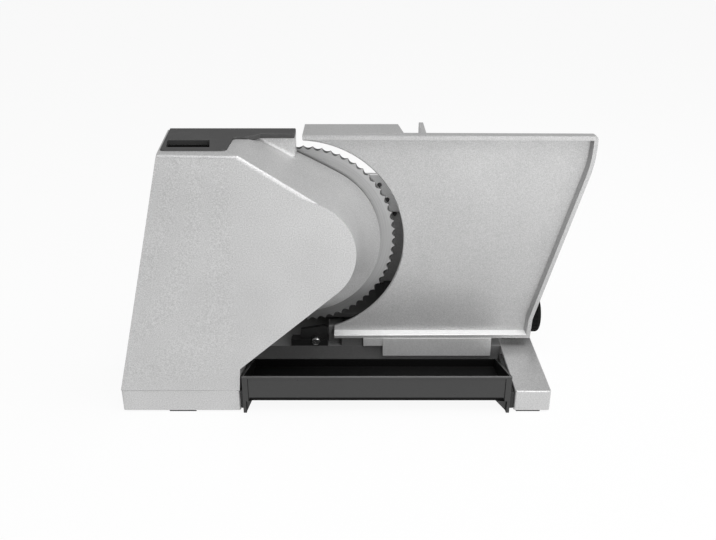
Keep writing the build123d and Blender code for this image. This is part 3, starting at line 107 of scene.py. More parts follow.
# A normal with more than this along Z points straight up or down
STRAIGHT = 0.9

# Sockets of the Mix node by index, because several of them share a name
MIX_SHARE, MIX_A, MIX_B, MIX_COLOUR_A, MIX_COLOUR_B = 0, 2, 3, 6, 7
MIX_OUT, MIX_COLOUR_OUT = 0, 2


# Node groups

def new_group(name, inputs, outputs):
    """Empty node group, with its input and output nodes."""
    group = bpy.data.node_groups.new(name, "ShaderNodeTree")
    for label, kind, start in inputs:
        socket = group.interface.new_socket(name=label, in_out="INPUT", socket_type=kind)
        if start is not None:
            socket.default_value = start
    for label, kind in outputs:
        group.interface.new_socket(name=label, in_out="OUTPUT", socket_type=kind)
    return group, group.nodes.new("NodeGroupInput"), group.nodes.new("NodeGroupOutput")


def add(tree, kind, values=None, settings=None):
    """New node with its input values by name or index and its settings by attribute."""
    node = tree.nodes.new(kind)
    for key, value in (settings or {}).items():
        setattr(node, key, value)
    for key, value in (values or {}).items():
        node.inputs[key].default_value = value
    return node


def join(tree, *pairs):
    """Link outputs to inputs."""
    for source, target in pairs:
        tree.links.new(source, target)


def make_grain():
    """Fine speckle between two colours, with slow clouds over it."""
    group, start, end = new_group(
        "fine_grain",
        (
            ("Vector", "NodeSocketVector", None),
            ("Scale", "NodeSocketFloat", 1200.0),
            ("Clouds", "NodeSocketFloat", 0.25),
            ("Dark", "NodeSocketColor", (0.3, 0.3, 0.3, 1)),
            ("Light", "NodeSocketColor", (0.6, 0.6, 0.6, 1)),
        ),
        (("Colour", "NodeSocketColor"), ("Height", "NodeSocketFloat")),
    )
    speck = add(group, "ShaderNodeTexNoise", {"Detail": 2.0, "Roughness": 0.7})
    cloud = add(group, "ShaderNodeTexNoise", {"Scale": 22.0, "Detail": 3.0, "Roughness": 0.5})
    blend = add(group, "ShaderNodeMix")
    spread = add(group, "ShaderNodeMapRange", {"From Min": 0.32, "From Max": 0.68})
    paint = add(group, "ShaderNodeMix", settings={"data_type": "RGBA"})
    join(
        group,
        (start.outputs["Vector"], speck.inputs["Vector"]),
        (start.outputs["Scale"], speck.inputs["Scale"]),
        (start.outputs["Vector"], cloud.inputs["Vector"]),
        (start.outputs["Clouds"], blend.inputs[MIX_SHARE]),
        (speck.outputs["Fac"], blend.inputs[MIX_A]),
        (cloud.outputs["Fac"], blend.inputs[MIX_B]),
        (blend.outputs[MIX_OUT], spread.inputs["Value"]),
        (spread.outputs[0], paint.inputs[MIX_SHARE]),
        (start.outputs["Dark"], paint.inputs[MIX_COLOUR_A]),
        (start.outputs["Light"], paint.inputs[MIX_COLOUR_B]),
        (paint.outputs[MIX_COLOUR_OUT], end.inputs["Colour"]),
        (speck.outputs["Fac"], end.inputs["Height"]),
    )
    return group


def make_handling():
    """Slow change of roughness from handling and wiping."""
    group, start, end = new_group(
        "handling",
        (
            ("Vector", "NodeSocketVector", None),
            ("Scale", "NodeSocketFloat", 35.0),
            ("Smooth", "NodeSocketFloat", 0.3),
            ("Dull", "NodeSocketFloat", 0.5),
        ),
        (("Roughness", "NodeSocketFloat"),),
    )
    smear = add(group, "ShaderNodeTexNoise", {"Detail": 5.0, "Roughness": 0.6, "Distortion": 0.4})
    spread = add(group, "ShaderNodeMapRange", {"From Min": 0.3, "From Max": 0.7})
    join(
        group,
        (start.outputs["Vector"], smear.inputs["Vector"]),
        (start.outputs["Scale"], smear.inputs["Scale"]),
        (smear.outputs["Fac"], spread.inputs["Value"]),
        (start.outputs["Smooth"], spread.inputs["To Min"]),
        (start.outputs["Dull"], spread.inputs["To Max"]),
        (spread.outputs[0], end.inputs["Roughness"]),
    )
    return group


def make_grind():
    """Rings left by turning or grinding about an axis along Y."""
    group, start, end = new_group(
        "grind_rings",
        (
            ("Vector", "NodeSocketVector", None),
            ("Centre", "NodeSocketVector", (0.0, 0.0, 0.0)),
            ("Rings", "NodeSocketFloat", 2500.0),
            ("Dark", "NodeSocketColor", (0.3, 0.3, 0.3, 1)),
            ("Light", "NodeSocketColor", (0.6, 0.6, 0.6, 1)),
        ),
        (("Colour", "NodeSocketColor"), ("Height", "NodeSocketFloat")),
    )
    away = add(group, "ShaderNodeVectorMath", settings={"operation": "SUBTRACT"})
    flat = add(group, "ShaderNodeVectorMath", {1: (1, 0, 1)}, {"operation": "MULTIPLY"})
    length = add(group, "ShaderNodeVectorMath", settings={"operation": "LENGTH"})
    way = add(group, "ShaderNodeVectorMath", settings={"operation": "NORMALIZE"})
    rings = add(group, "ShaderNodeMath", settings={"operation": "MULTIPLY"})
    parts = add(group, "ShaderNodeSeparateXYZ")
    place = add(group, "ShaderNodeCombineXYZ")
    streak = add(group, "ShaderNodeTexNoise", {"Scale": 1.0, "Detail": 4.0, "Roughness": 0.65})
    spread = add(group, "ShaderNodeMapRange", {"From Min": 0.3, "From Max": 0.7})
    paint = add(group, "ShaderNodeMix", settings={"data_type": "RGBA"})
    join(
        group,
        (start.outputs["Vector"], away.inputs[0]),
        (start.outputs["Centre"], away.inputs[1]),
        (away.outputs[0], flat.inputs[0]),
        (flat.outputs[0], length.inputs[0]),
        (flat.outputs[0], way.inputs[0]),
        (length.outputs["Value"], rings.inputs[0]),
        (start.outputs["Rings"], rings.inputs[1]),
        (way.outputs[0], parts.inputs[0]),
        (rings.outputs[0], place.inputs["X"]),
        (parts.outputs["X"], place.inputs["Y"]),
        (parts.outputs["Z"], place.inputs["Z"]),
        (place.outputs[0], streak.inputs["Vector"]),
        (streak.outputs["Fac"], spread.inputs["Value"]),
        (spread.outputs[0], paint.inputs[MIX_SHARE]),
        (start.outputs["Dark"], paint.inputs[MIX_COLOUR_A]),
        (start.outputs["Light"], paint.inputs[MIX_COLOUR_B]),
        (paint.outputs[MIX_COLOUR_OUT], end.inputs["Colour"]),
        (streak.outputs["Fac"], end.inputs["Height"]),
    )
    return group


GRAIN = make_grain()
HANDLING = make_handling()
GRIND = make_grind()


# Materials

def grey(level):
    return (level, level, level, 1)


def new_material(name, pattern, values, rough, bump, depth, metallic, sockets=None):
    """Material whose colour and relief come from a pattern group, its roughness from handling."""
    material = bpy.data.materials.new(name)
    material.use_nodes = True
    tree = material.node_tree
    shader = tree.nodes["Principled BSDF"]
    where = add(tree, "ShaderNodeTexCoord")
    drawn = add(tree, "ShaderNodeGroup", values, {"node_tree": pattern})
    smooth, dull = rough
    handled = add(
        tree, "ShaderNodeGroup", {"Smooth": smooth, "Dull": dull}, {"node_tree": HANDLING}
    )
    relief = add(tree, "ShaderNodeBump", {"Strength": bump, "Distance": depth})
    shader.inputs["Metallic"].default_value = metallic
    for label, value in (sockets or {}).items():
        shader.inputs[label].default_value = value
    join(
        tree,
        (where.outputs["Object"], drawn.inputs["Vector"]),
        (where.outputs["Object"], handled.inputs["Vector"]),
        (drawn.outputs["Colour"], shader.inputs["Base Color"]),
        (handled.outputs["Roughness"], shader.inputs["Roughness"]),
        (drawn.outputs["Height"], relief.inputs["Height"]),
        (relief.outputs["Normal"], shader.inputs["Normal"]),
    )
    return material


def speckled(name, dark, light, scale, clouds, rough, bump, metallic=0.0, sockets=None):
    """Speckled finish: dark and light are its two greys, rough its two roughnesses."""
    values = {"Scale": scale, "Clouds": clouds, "Dark": grey(dark), "Light": grey(light)}
    return new_material(name, GRAIN, values, rough, bump, 0.1 * MM, metallic, sockets)


def ground(name, dark, light, rings, centre, rough, bump, metallic):
    """Bare metal with turning rings about an axis along Y."""
    values = {"Rings": rings, "Centre": centre, "Dark": grey(dark), "Light": grey(light)}
    return new_material(name, GRIND, values, rough, bump, 0.05 * MM, metallic)


# Dark and light grey, scale of the specks, share of clouds, roughness, relief, metallic share
SILVER = speckled("silver_lacquer", 0.42, 0.66, 1100, 0.15, (0.28, 0.36), 0.15, 0.5)
HOUSING = speckled("housing_lacquer", 0.42, 0.66, 1100, 0.15, (0.40, 0.48), 0.15, 0.5)
PLATE = speckled("plate_silver", 0.36, 0.56, 1300, 0.15, (0.34, 0.44), 0.15, 0.35)
# Lighter copy of the plate's silver for the front of its lower rim: a painted highlight
PAINTED_BRIGHT_RIM = speckled("rim_painted_highlight", 0.80, 0.94, 1300, 0.15, (0.30, 0.40), 0.1, 0.1)
CARRIER = speckled("carrier_silver", 0.48, 0.64, 1300, 0.15, (0.34, 0.44), 0.1, 0.1)
PANEL = speckled("panel_plastic", 0.035, 0.055, 1800, 0.2, (0.45, 0.6), 0.25)
BLACK = speckled("black_plastic", 0.008, 0.014, 1600, 0.2, (0.4, 0.55), 0.25)
# Matte black of the key and the knob, also used as painted shade inside the tray and under its
# front
MATTE_BLACK_AND_SHADE = speckled(
    "matte_black_and_painted_shade", 0.003, 0.006, 1600, 0.2, (0.7, 0.85), 0.3, sockets={"Specular IOR Level": 0.12}
)
TRAY = speckled("tray_plastic", 0.022, 0.036, 1600, 0.2, (0.26, 0.36), 0.15)
DARK = speckled("dark_plastic", 0.040, 0.060, 1600, 0.2, (0.45, 0.6), 0.25)
BEAM = speckled("beam_plastic", 0.110, 0.150, 1600, 0.2, (0.45, 0.6), 0.25)
# Paler copy of the beam's grey for its upward faces: painted light from above
PAINTED_LIGHT_DECK = speckled("deck_painted_light", 0.20, 0.27, 1600, 0.2, (0.45, 0.6), 0.25)
PALE_PLASTIC = speckled("pale_plastic", 0.82, 0.92, 1400, 0.2, (0.4, 0.5), 0.1)
SILVER_PLASTIC = speckled("silver_plastic", 0.40, 0.56, 1400, 0.2, (0.4, 0.5), 0.15, 0.3)
GEAR = speckled("gear_plastic", 0.55, 0.66, 900, 0.3, (0.4, 0.55), 0.1)
RUBBER = speckled("foot_rubber", 0.012, 0.022, 1500, 0.3, (0.7, 0.85), 0.3)
STEEL = speckled("plain_steel", 0.42, 0.56, 1500, 0.2, (0.22, 0.34), 0.08, 1.0)
BRONZE = speckled("bush_bronze", 0.22, 0.34, 1500, 0.3, (0.3, 0.45), 0.1, 1.0)
IRON = speckled("core_iron", 0.10, 0.16, 1500, 0.3, (0.4, 0.55), 0.15, 1.0)
ALUMINIUM = speckled("rail_aluminium", 0.45, 0.58, 1500, 0.2, (0.3, 0.42), 0.1, 1.0)
# Here the rings per metre and their centre stand in the place of specks and clouds
BLADE_STEEL = ground(
    "blade_steel", 0.27, 0.39, 2600, (AXIS_X, 0, AXIS_Z), (0.30, 0.42), 0.12, 0.75
)
# Near black steel for the hollows of the waves: a painted dark reflection
PAINTED_DARK_HOLLOW = speckled("hollow_painted_reflection", 0.06, 0.10, 1500, 0.2, (0.3, 0.42), 0.1, 1.0)

SCREWS = (
    "guard_screw",
    "plate_screws",
    "rack_screws",
    "rail_screws",
    "slider_screws",
    "guard_screws",
    "gearbox_screws",
    "rear_screws",
    "cover_screws",
    "frame_screws",
)
NODE_MATERIALS = {
    SILVER: ("rear_plate", "base_pan", "right_foot"),
    CARRIER: ("plate_carrier",),
    HOUSING: ("motor_housing",),
    PLATE: ("stop_plate",),
    PANEL: ("top_panel",),
    BLACK: (
        "switch_block",
        "knob_post",
        "knob_spindle",
        "lower_guard",
        "tray_rails",
        "cable_gland",
        "carriage",
        "holder_spikes",
    ),
    MATTE_BLACK_AND_SHADE: ("switch_button", "thickness_knob"),
    TRAY: ("collection_tray",),
    BEAM: ("cross_beam", "guide_block"),
    DARK: ("bottom_cover", "carriage_slider", "blade_lock"),
    SILVER_PLASTIC: ("thumb_guard", "holder_body"),
    PALE_PLASTIC: ("holder_face",),
    GEAR: ("blade_gear", "idler_gear", "motor_pinion"),
    RUBBER: ("rubber_feet",),
    STEEL: (
        "blade_axle",
        "idler_axle",
        "motor_shaft",
        "motor_case",
        "gearbox_plate",
        "guide_rods",
        "rack_bar",
        *SCREWS,
    ),
    BRONZE: ("blade_bush", "rod_bushes"),
    IRON: ("armature", "motor_magnets"),
    ALUMINIUM: ("carriage_rail",),
    BLADE_STEEL: ("blade",),
}
for material, names in NODE_MATERIALS.items():
    for name in names:
        mesh = frame["nodes"][name].data
        mesh.materials.clear()
        mesh.materials.append(material)


# Pieces

NODE_BODY = {}
for body, names in frame["record"]["behaviour"]["bodies"].items():
    for name in names:
        NODE_BODY[name] = body


def merged_copy(node):
    """The solid of a node as a bmesh of whole flat faces."""
    shape = bmesh.new()
    shape.from_mesh(frame["nodes"][node].data)
    bmesh.ops.remove_doubles(shape, verts=shape.verts, dist=0.002 * MM)
    bmesh.ops.dissolve_limit(
        shape,
        angle_limit=FLAT,
        use_dissolve_boundaries=False,
        verts=shape.verts,
        edges=shape.edges,
    )
    return shape


def place_piece(name, shape, node, *materials, smooth=30):
    """Make a mesh object that stands for a node, shaded smooth below an angle in degrees."""
    mesh = bpy.data.meshes.new(name)
    shape.to_mesh(mesh)
    shape.free()
    mesh.shade_smooth()
    mesh.set_sharp_from_angle(angle=math.radians(smooth))
    for material in materials:
        mesh.materials.append(material)
    piece = bpy.data.objects.new(name, mesh)
    bpy.context.scene.collection.objects.link(piece)
    # Large flat faces stay flat beside their narrow roundings
    even = piece.modifiers.new("even_normals", "WEIGHTED_NORMAL")
    even.mode = "FACE_AREA"
    even.weight = 100
    even.keep_sharp = True
    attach(piece, NODE_BODY[node])
    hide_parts(node)


def round_edges(shape, edges, width, segments, clamp=True):
    """Bevel some edges and give back the new faces."""
    return bmesh.ops.bevel(
        shape,
        geom=edges,
        offset=width,
        offset_type="OFFSET",
        segments=segments,
        profile=0.5,
        affect="EDGES",
        clamp_overlap=clamp,
        material=-1,
        loop_slide=True,
    )["faces"]


def sharp_edges(shape):
    return [e for e in shape.edges if len(e.link_faces) == 2 and e.calc_face_angle() > SHARP]


def soften_edges(shape, width, segments=2, kept=()):
    """Round every sharp edge, apart from those of the faces that are kept."""
    kept = set(kept)
    edges = [e for e in sharp_edges(shape) if kept.isdisjoint(e.link_faces)]
    round_edges(shape, edges, width, segments)


# Pieces with nothing but their edges rounded, by so many millimetres
SOFT_EDGES = {
    "base_pan": 0.5,
    "right_foot": 0.5,
    "lower_guard": 0.5,
    "guide_block": 0.5,
    "tray_rails": 0.5,
    "top_panel": 0.3,
    "switch_button": 0.3,
    "thickness_knob": 0.3,
    "knob_post": 0.5,
    "rear_plate": 0.5,
    "thumb_guard": 0.8,
    "carriage": 0.8,
    "carriage_slider": 0.6,
    "carriage_rail": 0.5,
    "holder_body": 0.3,
    "holder_face": 0.4,
    "rubber_feet": 0.4,
    "bottom_cover": 0.3,
    "rack_bar": 0.2,
    "cable_gland": 0.5,
}


def build_soft(node, width):
    """Rounded copy of a node's solid."""
    shape = merged_copy(node)
    soften_edges(shape, width * MM)
    place_piece(node + "_soft", shape, node, frame["nodes"][node].data.materials[0])


def build_housing():
    """Housing with rounded edges and a hollow fillet at the foot of its top corner block."""
    shape = merged_copy("motor_housing")
    block_left, block_front, block_low = -104 * MM, -46 * MM, 195 * MM
    fillet, fillet_steps = 3.2 * MM, 6
    hollow = -math.radians(20)

    def on_block(vert):
        spot = vert.co
        return abs(spot.y - block_front) < NEAR and spot.z > block_low and spot.x > block_left

    def on_foot(edge):
        near = all(on_block(v) for v in edge.verts) and len(edge.link_faces) == 2
        return near and edge.calc_face_angle_signed() < hollow

    round_edges(shape, [e for e in shape.edges if on_foot(e)], fillet, fillet_steps)
    soften_edges(shape, 0.6 * MM)
    # Faces of the well round the key are coloured matte black, darker than the lacquer of the
    # housing
    low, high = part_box("switch_button")
    room = 1.5 * MM
    for face in shape.faces:
        spot = face.calc_center_median()
        beside = all(low[i] - room < spot[i] < high[i] + room for i in range(2))
        face.material_index = int(beside and spot.z > low[2])
    place_piece("motor_housing_soft", shape, "motor_housing", HOUSING, MATTE_BLACK_AND_SHADE)


def build_plate():
    """Stop plate with rounded edges and chamfers on cut-out and rims; the front of its lower rim
    is painted near white as a painted highlight.
    """
    shape = merged_copy("stop_plate")
    low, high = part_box("stop_plate")
    cut_front = -28.5 * MM
    top_rim = high[2] - 1.5 * MM
    foot_rim = low[2] + MM, low[2] + 4 * MM
    painted_rim_top = low[2] + 4.7 * MM
    shortest = 100 * MM
    chamfer, slack = 0.9 * MM, 0.1 * MM
    forwards = 0.1

    def on_cut(edge):
        first, second = (v.co for v in edge.verts)
        if abs(first.y - second.y) > slack or first.y > cut_front:
            return False
        away = [math.hypot(spot.x - AXIS_X, spot.z - CUT_Z) for spot in (first, second)]
        return all(abs(reach - CUT_R) < slack for reach in away)

    def on_rim(edge):
        first, second = (v.co for v in edge.verts)
        least, most = min(first.z, second.z), max(first.z, second.z)
        front = max(first.y, second.y) < low[1] + NEAR
        level = least > top_rim or (foot_rim[0] < least and most < foot_rim[1])
        return front and level and edge.calc_length() > shortest

    edges = [e for e in sharp_edges(shape) if on_cut(e) or on_rim(e)]
    chamfers = round_edges(shape, edges, chamfer, 1, clamp=False)
    soften_edges(shape, 0.5 * MM, kept=chamfers)
    # The front of the lower rim is painted lighter than the plate, a painted highlight
    for face in shape.faces:
        on_foot = face.calc_center_median().z < painted_rim_top
        face.material_index = int(on_foot and face.normal.y < -forwards)
    place_piece("stop_plate_soft", shape, "stop_plate", PLATE, PAINTED_BRIGHT_RIM)


def build_carrier():
    """Plate carrier with rounded edges; its front lies back under the rim of the stop plate."""
    shape = merged_copy("plate_carrier")
    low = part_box("plate_carrier")[0]
    back, drop = 1.2 * MM, 0.5 * MM
    for vert in shape.verts:
        if vert.co.y < low[1] + NEAR:
            vert.co.y += back
            if vert.co.z < low[2] + NEAR:
                vert.co.z -= drop
    soften_edges(shape, 0.5 * MM)
    place_piece("plate_carrier_soft", shape, "plate_carrier", CARRIER)


def build_beam():
    """Cross beam with rounded edges, its upward faces painted paler than its sides as painted
    light from above.
    """
    shape = merged_copy("cross_beam")
    soften_edges(shape, 0.7 * MM)
    # Upward faces take the paler copy of the beam's grey: painted light
    for face in shape.faces:
        face.material_index = int(face.normal.z > STRAIGHT)
    place_piece("cross_beam_soft", shape, "cross_beam", BEAM, PAINTED_LIGHT_DECK)


def build_tray():
    """Tray with rounded edges and chamfered rims; its inside, a band below its front and its
    undersides are painted near black as painted shade.
    """
    shape = merged_copy("collection_tray")
    low, high = (Vector(corner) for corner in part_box("collection_tray"))
    middle = (low + high) / 2
    rear_y, rear_z = -43.2 * MM, 11.7 * MM
    rear_rim_y, rear_rim_z = -44.5 * MM, 10.8 * MM
    wall, foot_low, foot_high, drop = 6 * MM, 11 * MM, 18 * MM, 1.4 * MM
    chamfer = 1.0 * MM
    web, band_in, band_top = 14 * MM, 1.2 * MM, 14.1 * MM
    # Least share of a normal that points up on the rear rim, inwards and forwards
    upward, inwards, forwards = 0.3, 0.1, 0.7

    def on_rim(edge):
        spots = [v.co for v in edge.verts]
        front = all(s.z > high.z - NEAR and s.y < low.y + NEAR for s in spots)
        rear = all(abs(s.y - rear_y) < NEAR and s.z > rear_z for s in spots)
        return front or rear

    # Faces in painted shade: the inside, the band below the front and the undersides
    def is_painted_shade(spot, normal):
        rear_rim = spot.y > rear_rim_y and spot.z > rear_rim_z and normal.z > upward
        inward = middle - spot
        inside = normal.dot(inward) > inwards * inward.length and not rear_rim
        between = low.x + web < spot.x < high.x - web
        below = spot.y > low.y + band_in and spot.z < low.z + band_top
        band = between and below and normal.y < -forwards
        return inside or band or normal.z < -STRAIGHT

    # The front wall reaches a little lower than the solid's
    for vert in shape.verts:
        if vert.co.y < low.y + wall and foot_low < vert.co.z < foot_high:
            vert.co.z -= drop
    edges = [e for e in sharp_edges(shape) if on_rim(e)]
    chamfers = round_edges(shape, edges, chamfer, 1, clamp=False)
    soften_edges(shape, 0.5 * MM, 3, kept=chamfers)
    # Faces in shade take the matte black as painted shade
    for face in shape.faces:
        face.material_index = int(is_painted_shade(face.calc_center_median(), face.normal))
    place_piece("collection_tray_soft", shape, "collection_tray", TRAY, MATTE_BLACK_AND_SHADE)


def front_y(radius):
    """Front of the blade's ground rim at a radius, in millimetres."""
    share = (radius - BLADE_R + BEVEL_W) / (BEVEL_W + BEVEL_PAST)
    return BLADE_Y - BLADE_T + share * (BLADE_T - EDGE_T)


def build_blade():
    """Blade with a hollow ground into every wave; the hollows are painted dark as a painted
    reflection.

    Its rings run out over the front and back over the rear to the bore.
    """
    front, dish_r, edge = BLADE_Y - BLADE_T, DISH_R - DISH_DEPTH, 0.1
    # Radius, y (none on the ground rim), share of the wave, depth of the hollow below it
    rings = (
        (BORE_R, front - DISH_DEPTH, 0, 0),
        (dish_r, front - DISH_DEPTH, 0, 0),
        (DISH_R, front, 0, 0),
        (BLADE_R - BEVEL_W, front, 0, 0),
        (BLADE_R - edge, None, 1, HOLLOW_DEPTH),
        (BLADE_R, BLADE_Y - edge, 1, 0),
        (BLADE_R, BLADE_Y, 1, 0),
        (DISH_R, BLADE_Y, 0, 0),
        (dish_r, BLADE_Y - DISH_DEPTH, 0, 0),
        (BORE_R, BLADE_Y - DISH_DEPTH, 0, 0),
    )
    hollow_ring = 5
    shape = bmesh.new()
    bmesh.ops.create_circle(shape, cap_ends=False, segments=WAVES * WAVE_STEPS, radius=1)
    upright = Matrix.Rotation(math.pi / 2, 3, "X")
    bmesh.ops.rotate(shape, verts=shape.verts, cent=(0, 0, 0), matrix=upright)
    bmesh.ops.translate(shape, verts=shape.verts, vec=(AXIS_X, 0, AXIS_Z))
    loop = first = shape.edges[:]
    for index, (ring_r, ring_y, wave, depth) in enumerate(rings):
        if index:
            grown = bmesh.ops.extrude_edge_only(shape, edges=loop)["geom"]
            fresh = {part for part in grown if isinstance(part, bmesh.types.BMVert)}
            loop = [e for e in shape.edges if e.verts[0] in fresh and e.verts[1] in fresh]
            for face in (part for part in grown if isinstance(part, bmesh.types.BMFace)):
                # Faces of the hollow ring take the dark steel, a painted reflection
                face.material_index = int(index == hollow_ring)
        for vert in {v for e in loop for v in e.verts}:
            turn = math.atan2(vert.co.z - AXIS_Z, vert.co.x - AXIS_X)
            share = turn / (2 * math.pi) * WAVES % 1
            radius = ring_r - (wave * WAVE_DEPTH + depth) * (1 - (2 * share - 1) ** 2)
            y = front_y(radius) if ring_y is None else ring_y
            x, z = radius * MM * math.cos(turn), radius * MM * math.sin(turn)
            vert.co = (AXIS_X + x, y * MM, AXIS_Z + z)
    bmesh.ops.bridge_loops(shape, edges=loop + first)
    bmesh.ops.recalc_face_normals(shape, faces=shape.faces)
    place_piece("blade_ground", shape, "blade", BLADE_STEEL, PAINTED_DARK_HOLLOW, smooth=BLADE_SMOOTH)


def islands(shape):
    """The separate bodies of a bmesh, each as a list of vertices."""
    waiting = set(shape.verts)
    found = []
    while waiting:
        group = [waiting.pop()]
        for vert in group:
            for edge in vert.link_edges:
                other = edge.other_vert(vert)
                if other in waiting:
                    waiting.remove(other)
                    group.append(other)
        found.append(group)
    return found


def add_screw(shape, middle, way, head_r, length):
    """Screw with a domed head and a crossed slot.

    The middle is the top of its head, and the way points from head to tip.
    """
    head, shank_r = SCREW_HEAD, SCREW_SHANK_R
    arm, half = head_r * 0.5, head_r * 0.13
    sink, taper = head * 0.5, 0.8
    screw = bmesh.new()
    profile = (
        (0.0, 0.0),
        (head_r * 0.62, 0.0),
        (head_r * 0.9, -head * 0.18),
        (head_r, -head * 0.45),
        (head_r, -head),
        (shank_r, -head),
        (shank_r, -length + shank_r * 0.5),
        (shank_r * 0.6, -length),
        (0.0, -length),
    )

    def top_faces():
        """Faces in the flat top of the head, at z = 0."""
        return [f for f in screw.faces if all(v.co.z > -1e-7 for v in f.verts)]

    line = [screw.verts.new((r, 0, z)) for r, z in profile]
    for first, second in zip(line, line[1:]):
        screw.edges.new((first, second))
    bmesh.ops.spin(
        screw,
        geom=screw.verts[:] + screw.edges[:],
        axis=(0, 0, 1),
        cent=(0, 0, 0),
        angle=2 * math.pi,
        steps=SCREW_STEPS,
        use_merge=True,
    )
    bmesh.ops.remove_doubles(screw, verts=screw.verts, dist=0.001 * MM)
    bmesh.ops.recalc_face_normals(screw, faces=screw.faces)
    bmesh.ops.dissolve_faces(screw, faces=top_faces())
    for axis in ((1, 0, 0), (0, 1, 0)):
        for step in (-arm, -half, half, arm):
            flat = top_faces()
            edges = {e for f in flat for e in f.edges}
            verts = {v for f in flat for v in f.verts}
            bmesh.ops.bisect_plane(
                screw,
                geom=flat + list(edges) + list(verts),
                dist=1e-8,
                plane_co=Vector(axis) * step,
                plane_no=axis,
            )
    slot = []
    for face in top_faces():
        spot = face.calc_center_median()
        near, far = sorted((abs(spot.x), abs(spot.y)))
        if near < half and far < arm:
            slot.append(face)
    for part in bmesh.ops.extrude_face_region(screw, geom=slot)["geom"]:
        if isinstance(part, bmesh.types.BMVert):
            part.co.z -= sink
            part.co.x *= taper
            part.co.y *= taper
    bmesh.ops.delete(screw, geom=slot, context="FACES")
    turn = Vector((0, 0, -1)).rotation_difference(way).to_matrix().to_4x4()
    bmesh.ops.transform(screw, matrix=Matrix.Translation(middle) @ turn, verts=screw.verts)
    mesh = bpy.data.meshes.new("screw")
    screw.to_mesh(mesh)
    screw.free()
    shape.from_mesh(mesh)
    bpy.data.meshes.remove(mesh)


def build_screws(node):
    """Crossed screws in the places of a node's plain ones."""
    plain = merged_copy(node)
    shape = bmesh.new()
    for group in islands(plain):
        low = Vector([min(v.co[i] for v in group) for i in range(3)])
        high = Vector([max(v.co[i] for v in group) for i in range(3)])
        size = high - low
        middle = (low + high) / 2

        def oddness(i):
            return min(abs(size[i] - size[j]) for j in range(3) if j != i)

        # A screw runs along the side of its box that is least like the other two
        long = max(range(3), key=oddness)
        cross = [i for i in range(3) if i != long]
        reach = []
        for level in (low[long], high[long]):
            ring = [v.co - middle for v in group if abs(v.co[long] - level) < 0.01 * MM]
            reach.append(max(math.hypot(*(spot[i] for i in cross)) for spot in ring))
        # Its head is the wider end
        way = Vector((0, 0, 0))
        way[long] = 1 if reach[0] > reach[1] else -1
        top = middle.copy()
        top[long] = low[long] if way[long] > 0 else high[long]
        add_screw(shape, top, way, max(size[i] for i in cross) / 2, size[long])
    plain.free()
    place_piece(node + "_crossed", shape, node, STEEL)


for node, width in SOFT_EDGES.items():
    build_soft(node, width)
build_housing()
build_plate()
build_carrier()
build_beam()
build_tray()
build_blade()
for node in SCREWS:
    build_screws(node)


# Stage

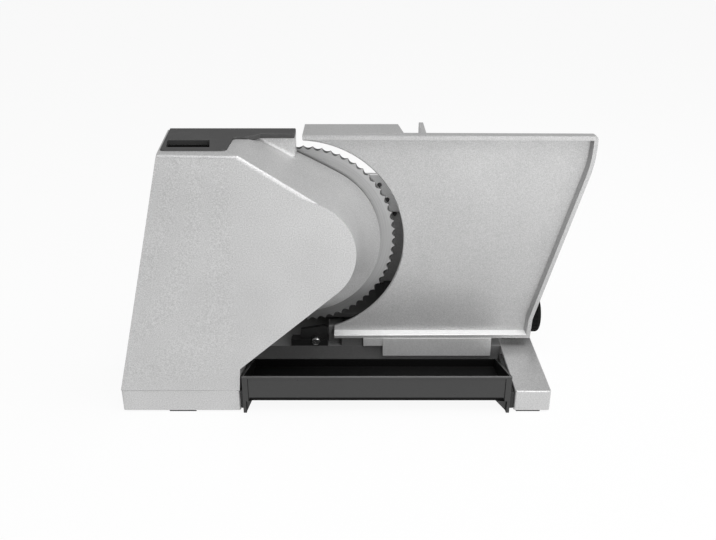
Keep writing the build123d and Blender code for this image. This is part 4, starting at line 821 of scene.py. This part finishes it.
def build_floor():
    """Pale floor that looks white and keeps the object's shadow."""
    shape = bmesh.new()
    bmesh.ops.create_grid(shape, x_segments=1, y_segments=1, size=FLOOR_HALF)
    mesh = bpy.data.meshes.new("floor")
    shape.to_mesh(mesh)
    shape.free()
    floor = bpy.data.objects.new("floor", mesh)
    bpy.context.scene.collection.objects.link(floor)
    material = bpy.data.materials.new("floor_white")
    material.use_nodes = True
    tree = material.node_tree
    paper = tree.nodes["Principled BSDF"]
    paper.inputs["Base Color"].default_value = grey(FLOOR_GREY)
    paper.inputs["Roughness"].default_value = FLOOR_ROUGH
    glow = add(tree, "ShaderNodeEmission", {"Color": grey(1.0), "Strength": 1.0})
    path = add(tree, "ShaderNodeLightPath")
    seen = add(tree, "ShaderNodeMath", settings={"operation": "MAXIMUM"})
    through = add(tree, "ShaderNodeMath", settings={"operation": "MAXIMUM"})
    share = add(tree, "ShaderNodeMath", {1: FLOOR_WHITE}, {"operation": "MULTIPLY"})
    mix = add(tree, "ShaderNodeMixShader")
    join(
        tree,
        (path.outputs["Is Camera Ray"], seen.inputs[0]),
        (path.outputs["Is Glossy Ray"], seen.inputs[1]),
        (seen.outputs[0], through.inputs[0]),
        (path.outputs["Is Transmission Ray"], through.inputs[1]),
        (through.outputs[0], share.inputs[0]),
        (share.outputs[0], mix.inputs[0]),
        (paper.outputs[0], mix.inputs[1]),
        (glow.outputs[0], mix.inputs[2]),
        (mix.outputs[0], tree.nodes["Material Output"].inputs["Surface"]),
    )
    mesh.materials.append(material)


def build_world():
    """Even light from all round, white where the camera sees it."""
    world = bpy.data.worlds.new("studio")
    world.use_nodes = True
    tree = world.node_tree
    tree.nodes.clear()
    out = add(tree, "ShaderNodeOutputWorld")
    room = add(tree, "ShaderNodeBackground", {"Color": grey(1.0), "Strength": WORLD_LIGHT})
    white = add(tree, "ShaderNodeBackground", {"Color": grey(1.0), "Strength": 1.0})
    path = add(tree, "ShaderNodeLightPath")
    seen = add(tree, "ShaderNodeMath", settings={"operation": "MAXIMUM"})
    mix = add(tree, "ShaderNodeMixShader")
    join(
        tree,
        (path.outputs["Is Camera Ray"], seen.inputs[0]),
        (path.outputs["Is Transmission Ray"], seen.inputs[1]),
        (seen.outputs[0], mix.inputs[0]),
        (room.outputs[0], mix.inputs[1]),
        (white.outputs[0], mix.inputs[2]),
        (mix.outputs[0], out.inputs["Surface"]),
    )
    bpy.context.scene.world = world


def build_lamp(name, place, target, size, power):
    """Rectangular lamp that points at its target."""
    lamp = bpy.data.lights.new(name, "AREA")
    lamp.shape = "RECTANGLE"
    lamp.size, lamp.size_y = size
    lamp.energy = power
    lamp_object = bpy.data.objects.new(name, lamp)
    lamp_object.location = place
    way = Vector(target) - Vector(place)
    lamp_object.rotation_euler = way.to_track_quat("-Z", "Y").to_euler()
    bpy.context.scene.collection.objects.link(lamp_object)


def build_camera():
    """Camera of the scene."""
    lens = bpy.data.cameras.new("camera")
    lens.lens = CAMERA_LENS
    lens.sensor_width = CAMERA_SENSOR
    lens.sensor_fit = "HORIZONTAL"
    lens.clip_start = CAMERA_CLIP
    camera = bpy.data.objects.new("camera", lens)
    camera.location = CAMERA_AT
    camera.rotation_euler = (math.pi / 2 - CAMERA_DOWN, 0, 0)
    bpy.context.scene.collection.objects.link(camera)
    bpy.context.scene.camera = camera


build_floor()
build_world()
for name, (place, target, size, power) in LAMPS.items():
    build_lamp(name, place, target, size, power)
build_camera()
bpy.context.scene.view_settings.view_transform = "Standard"
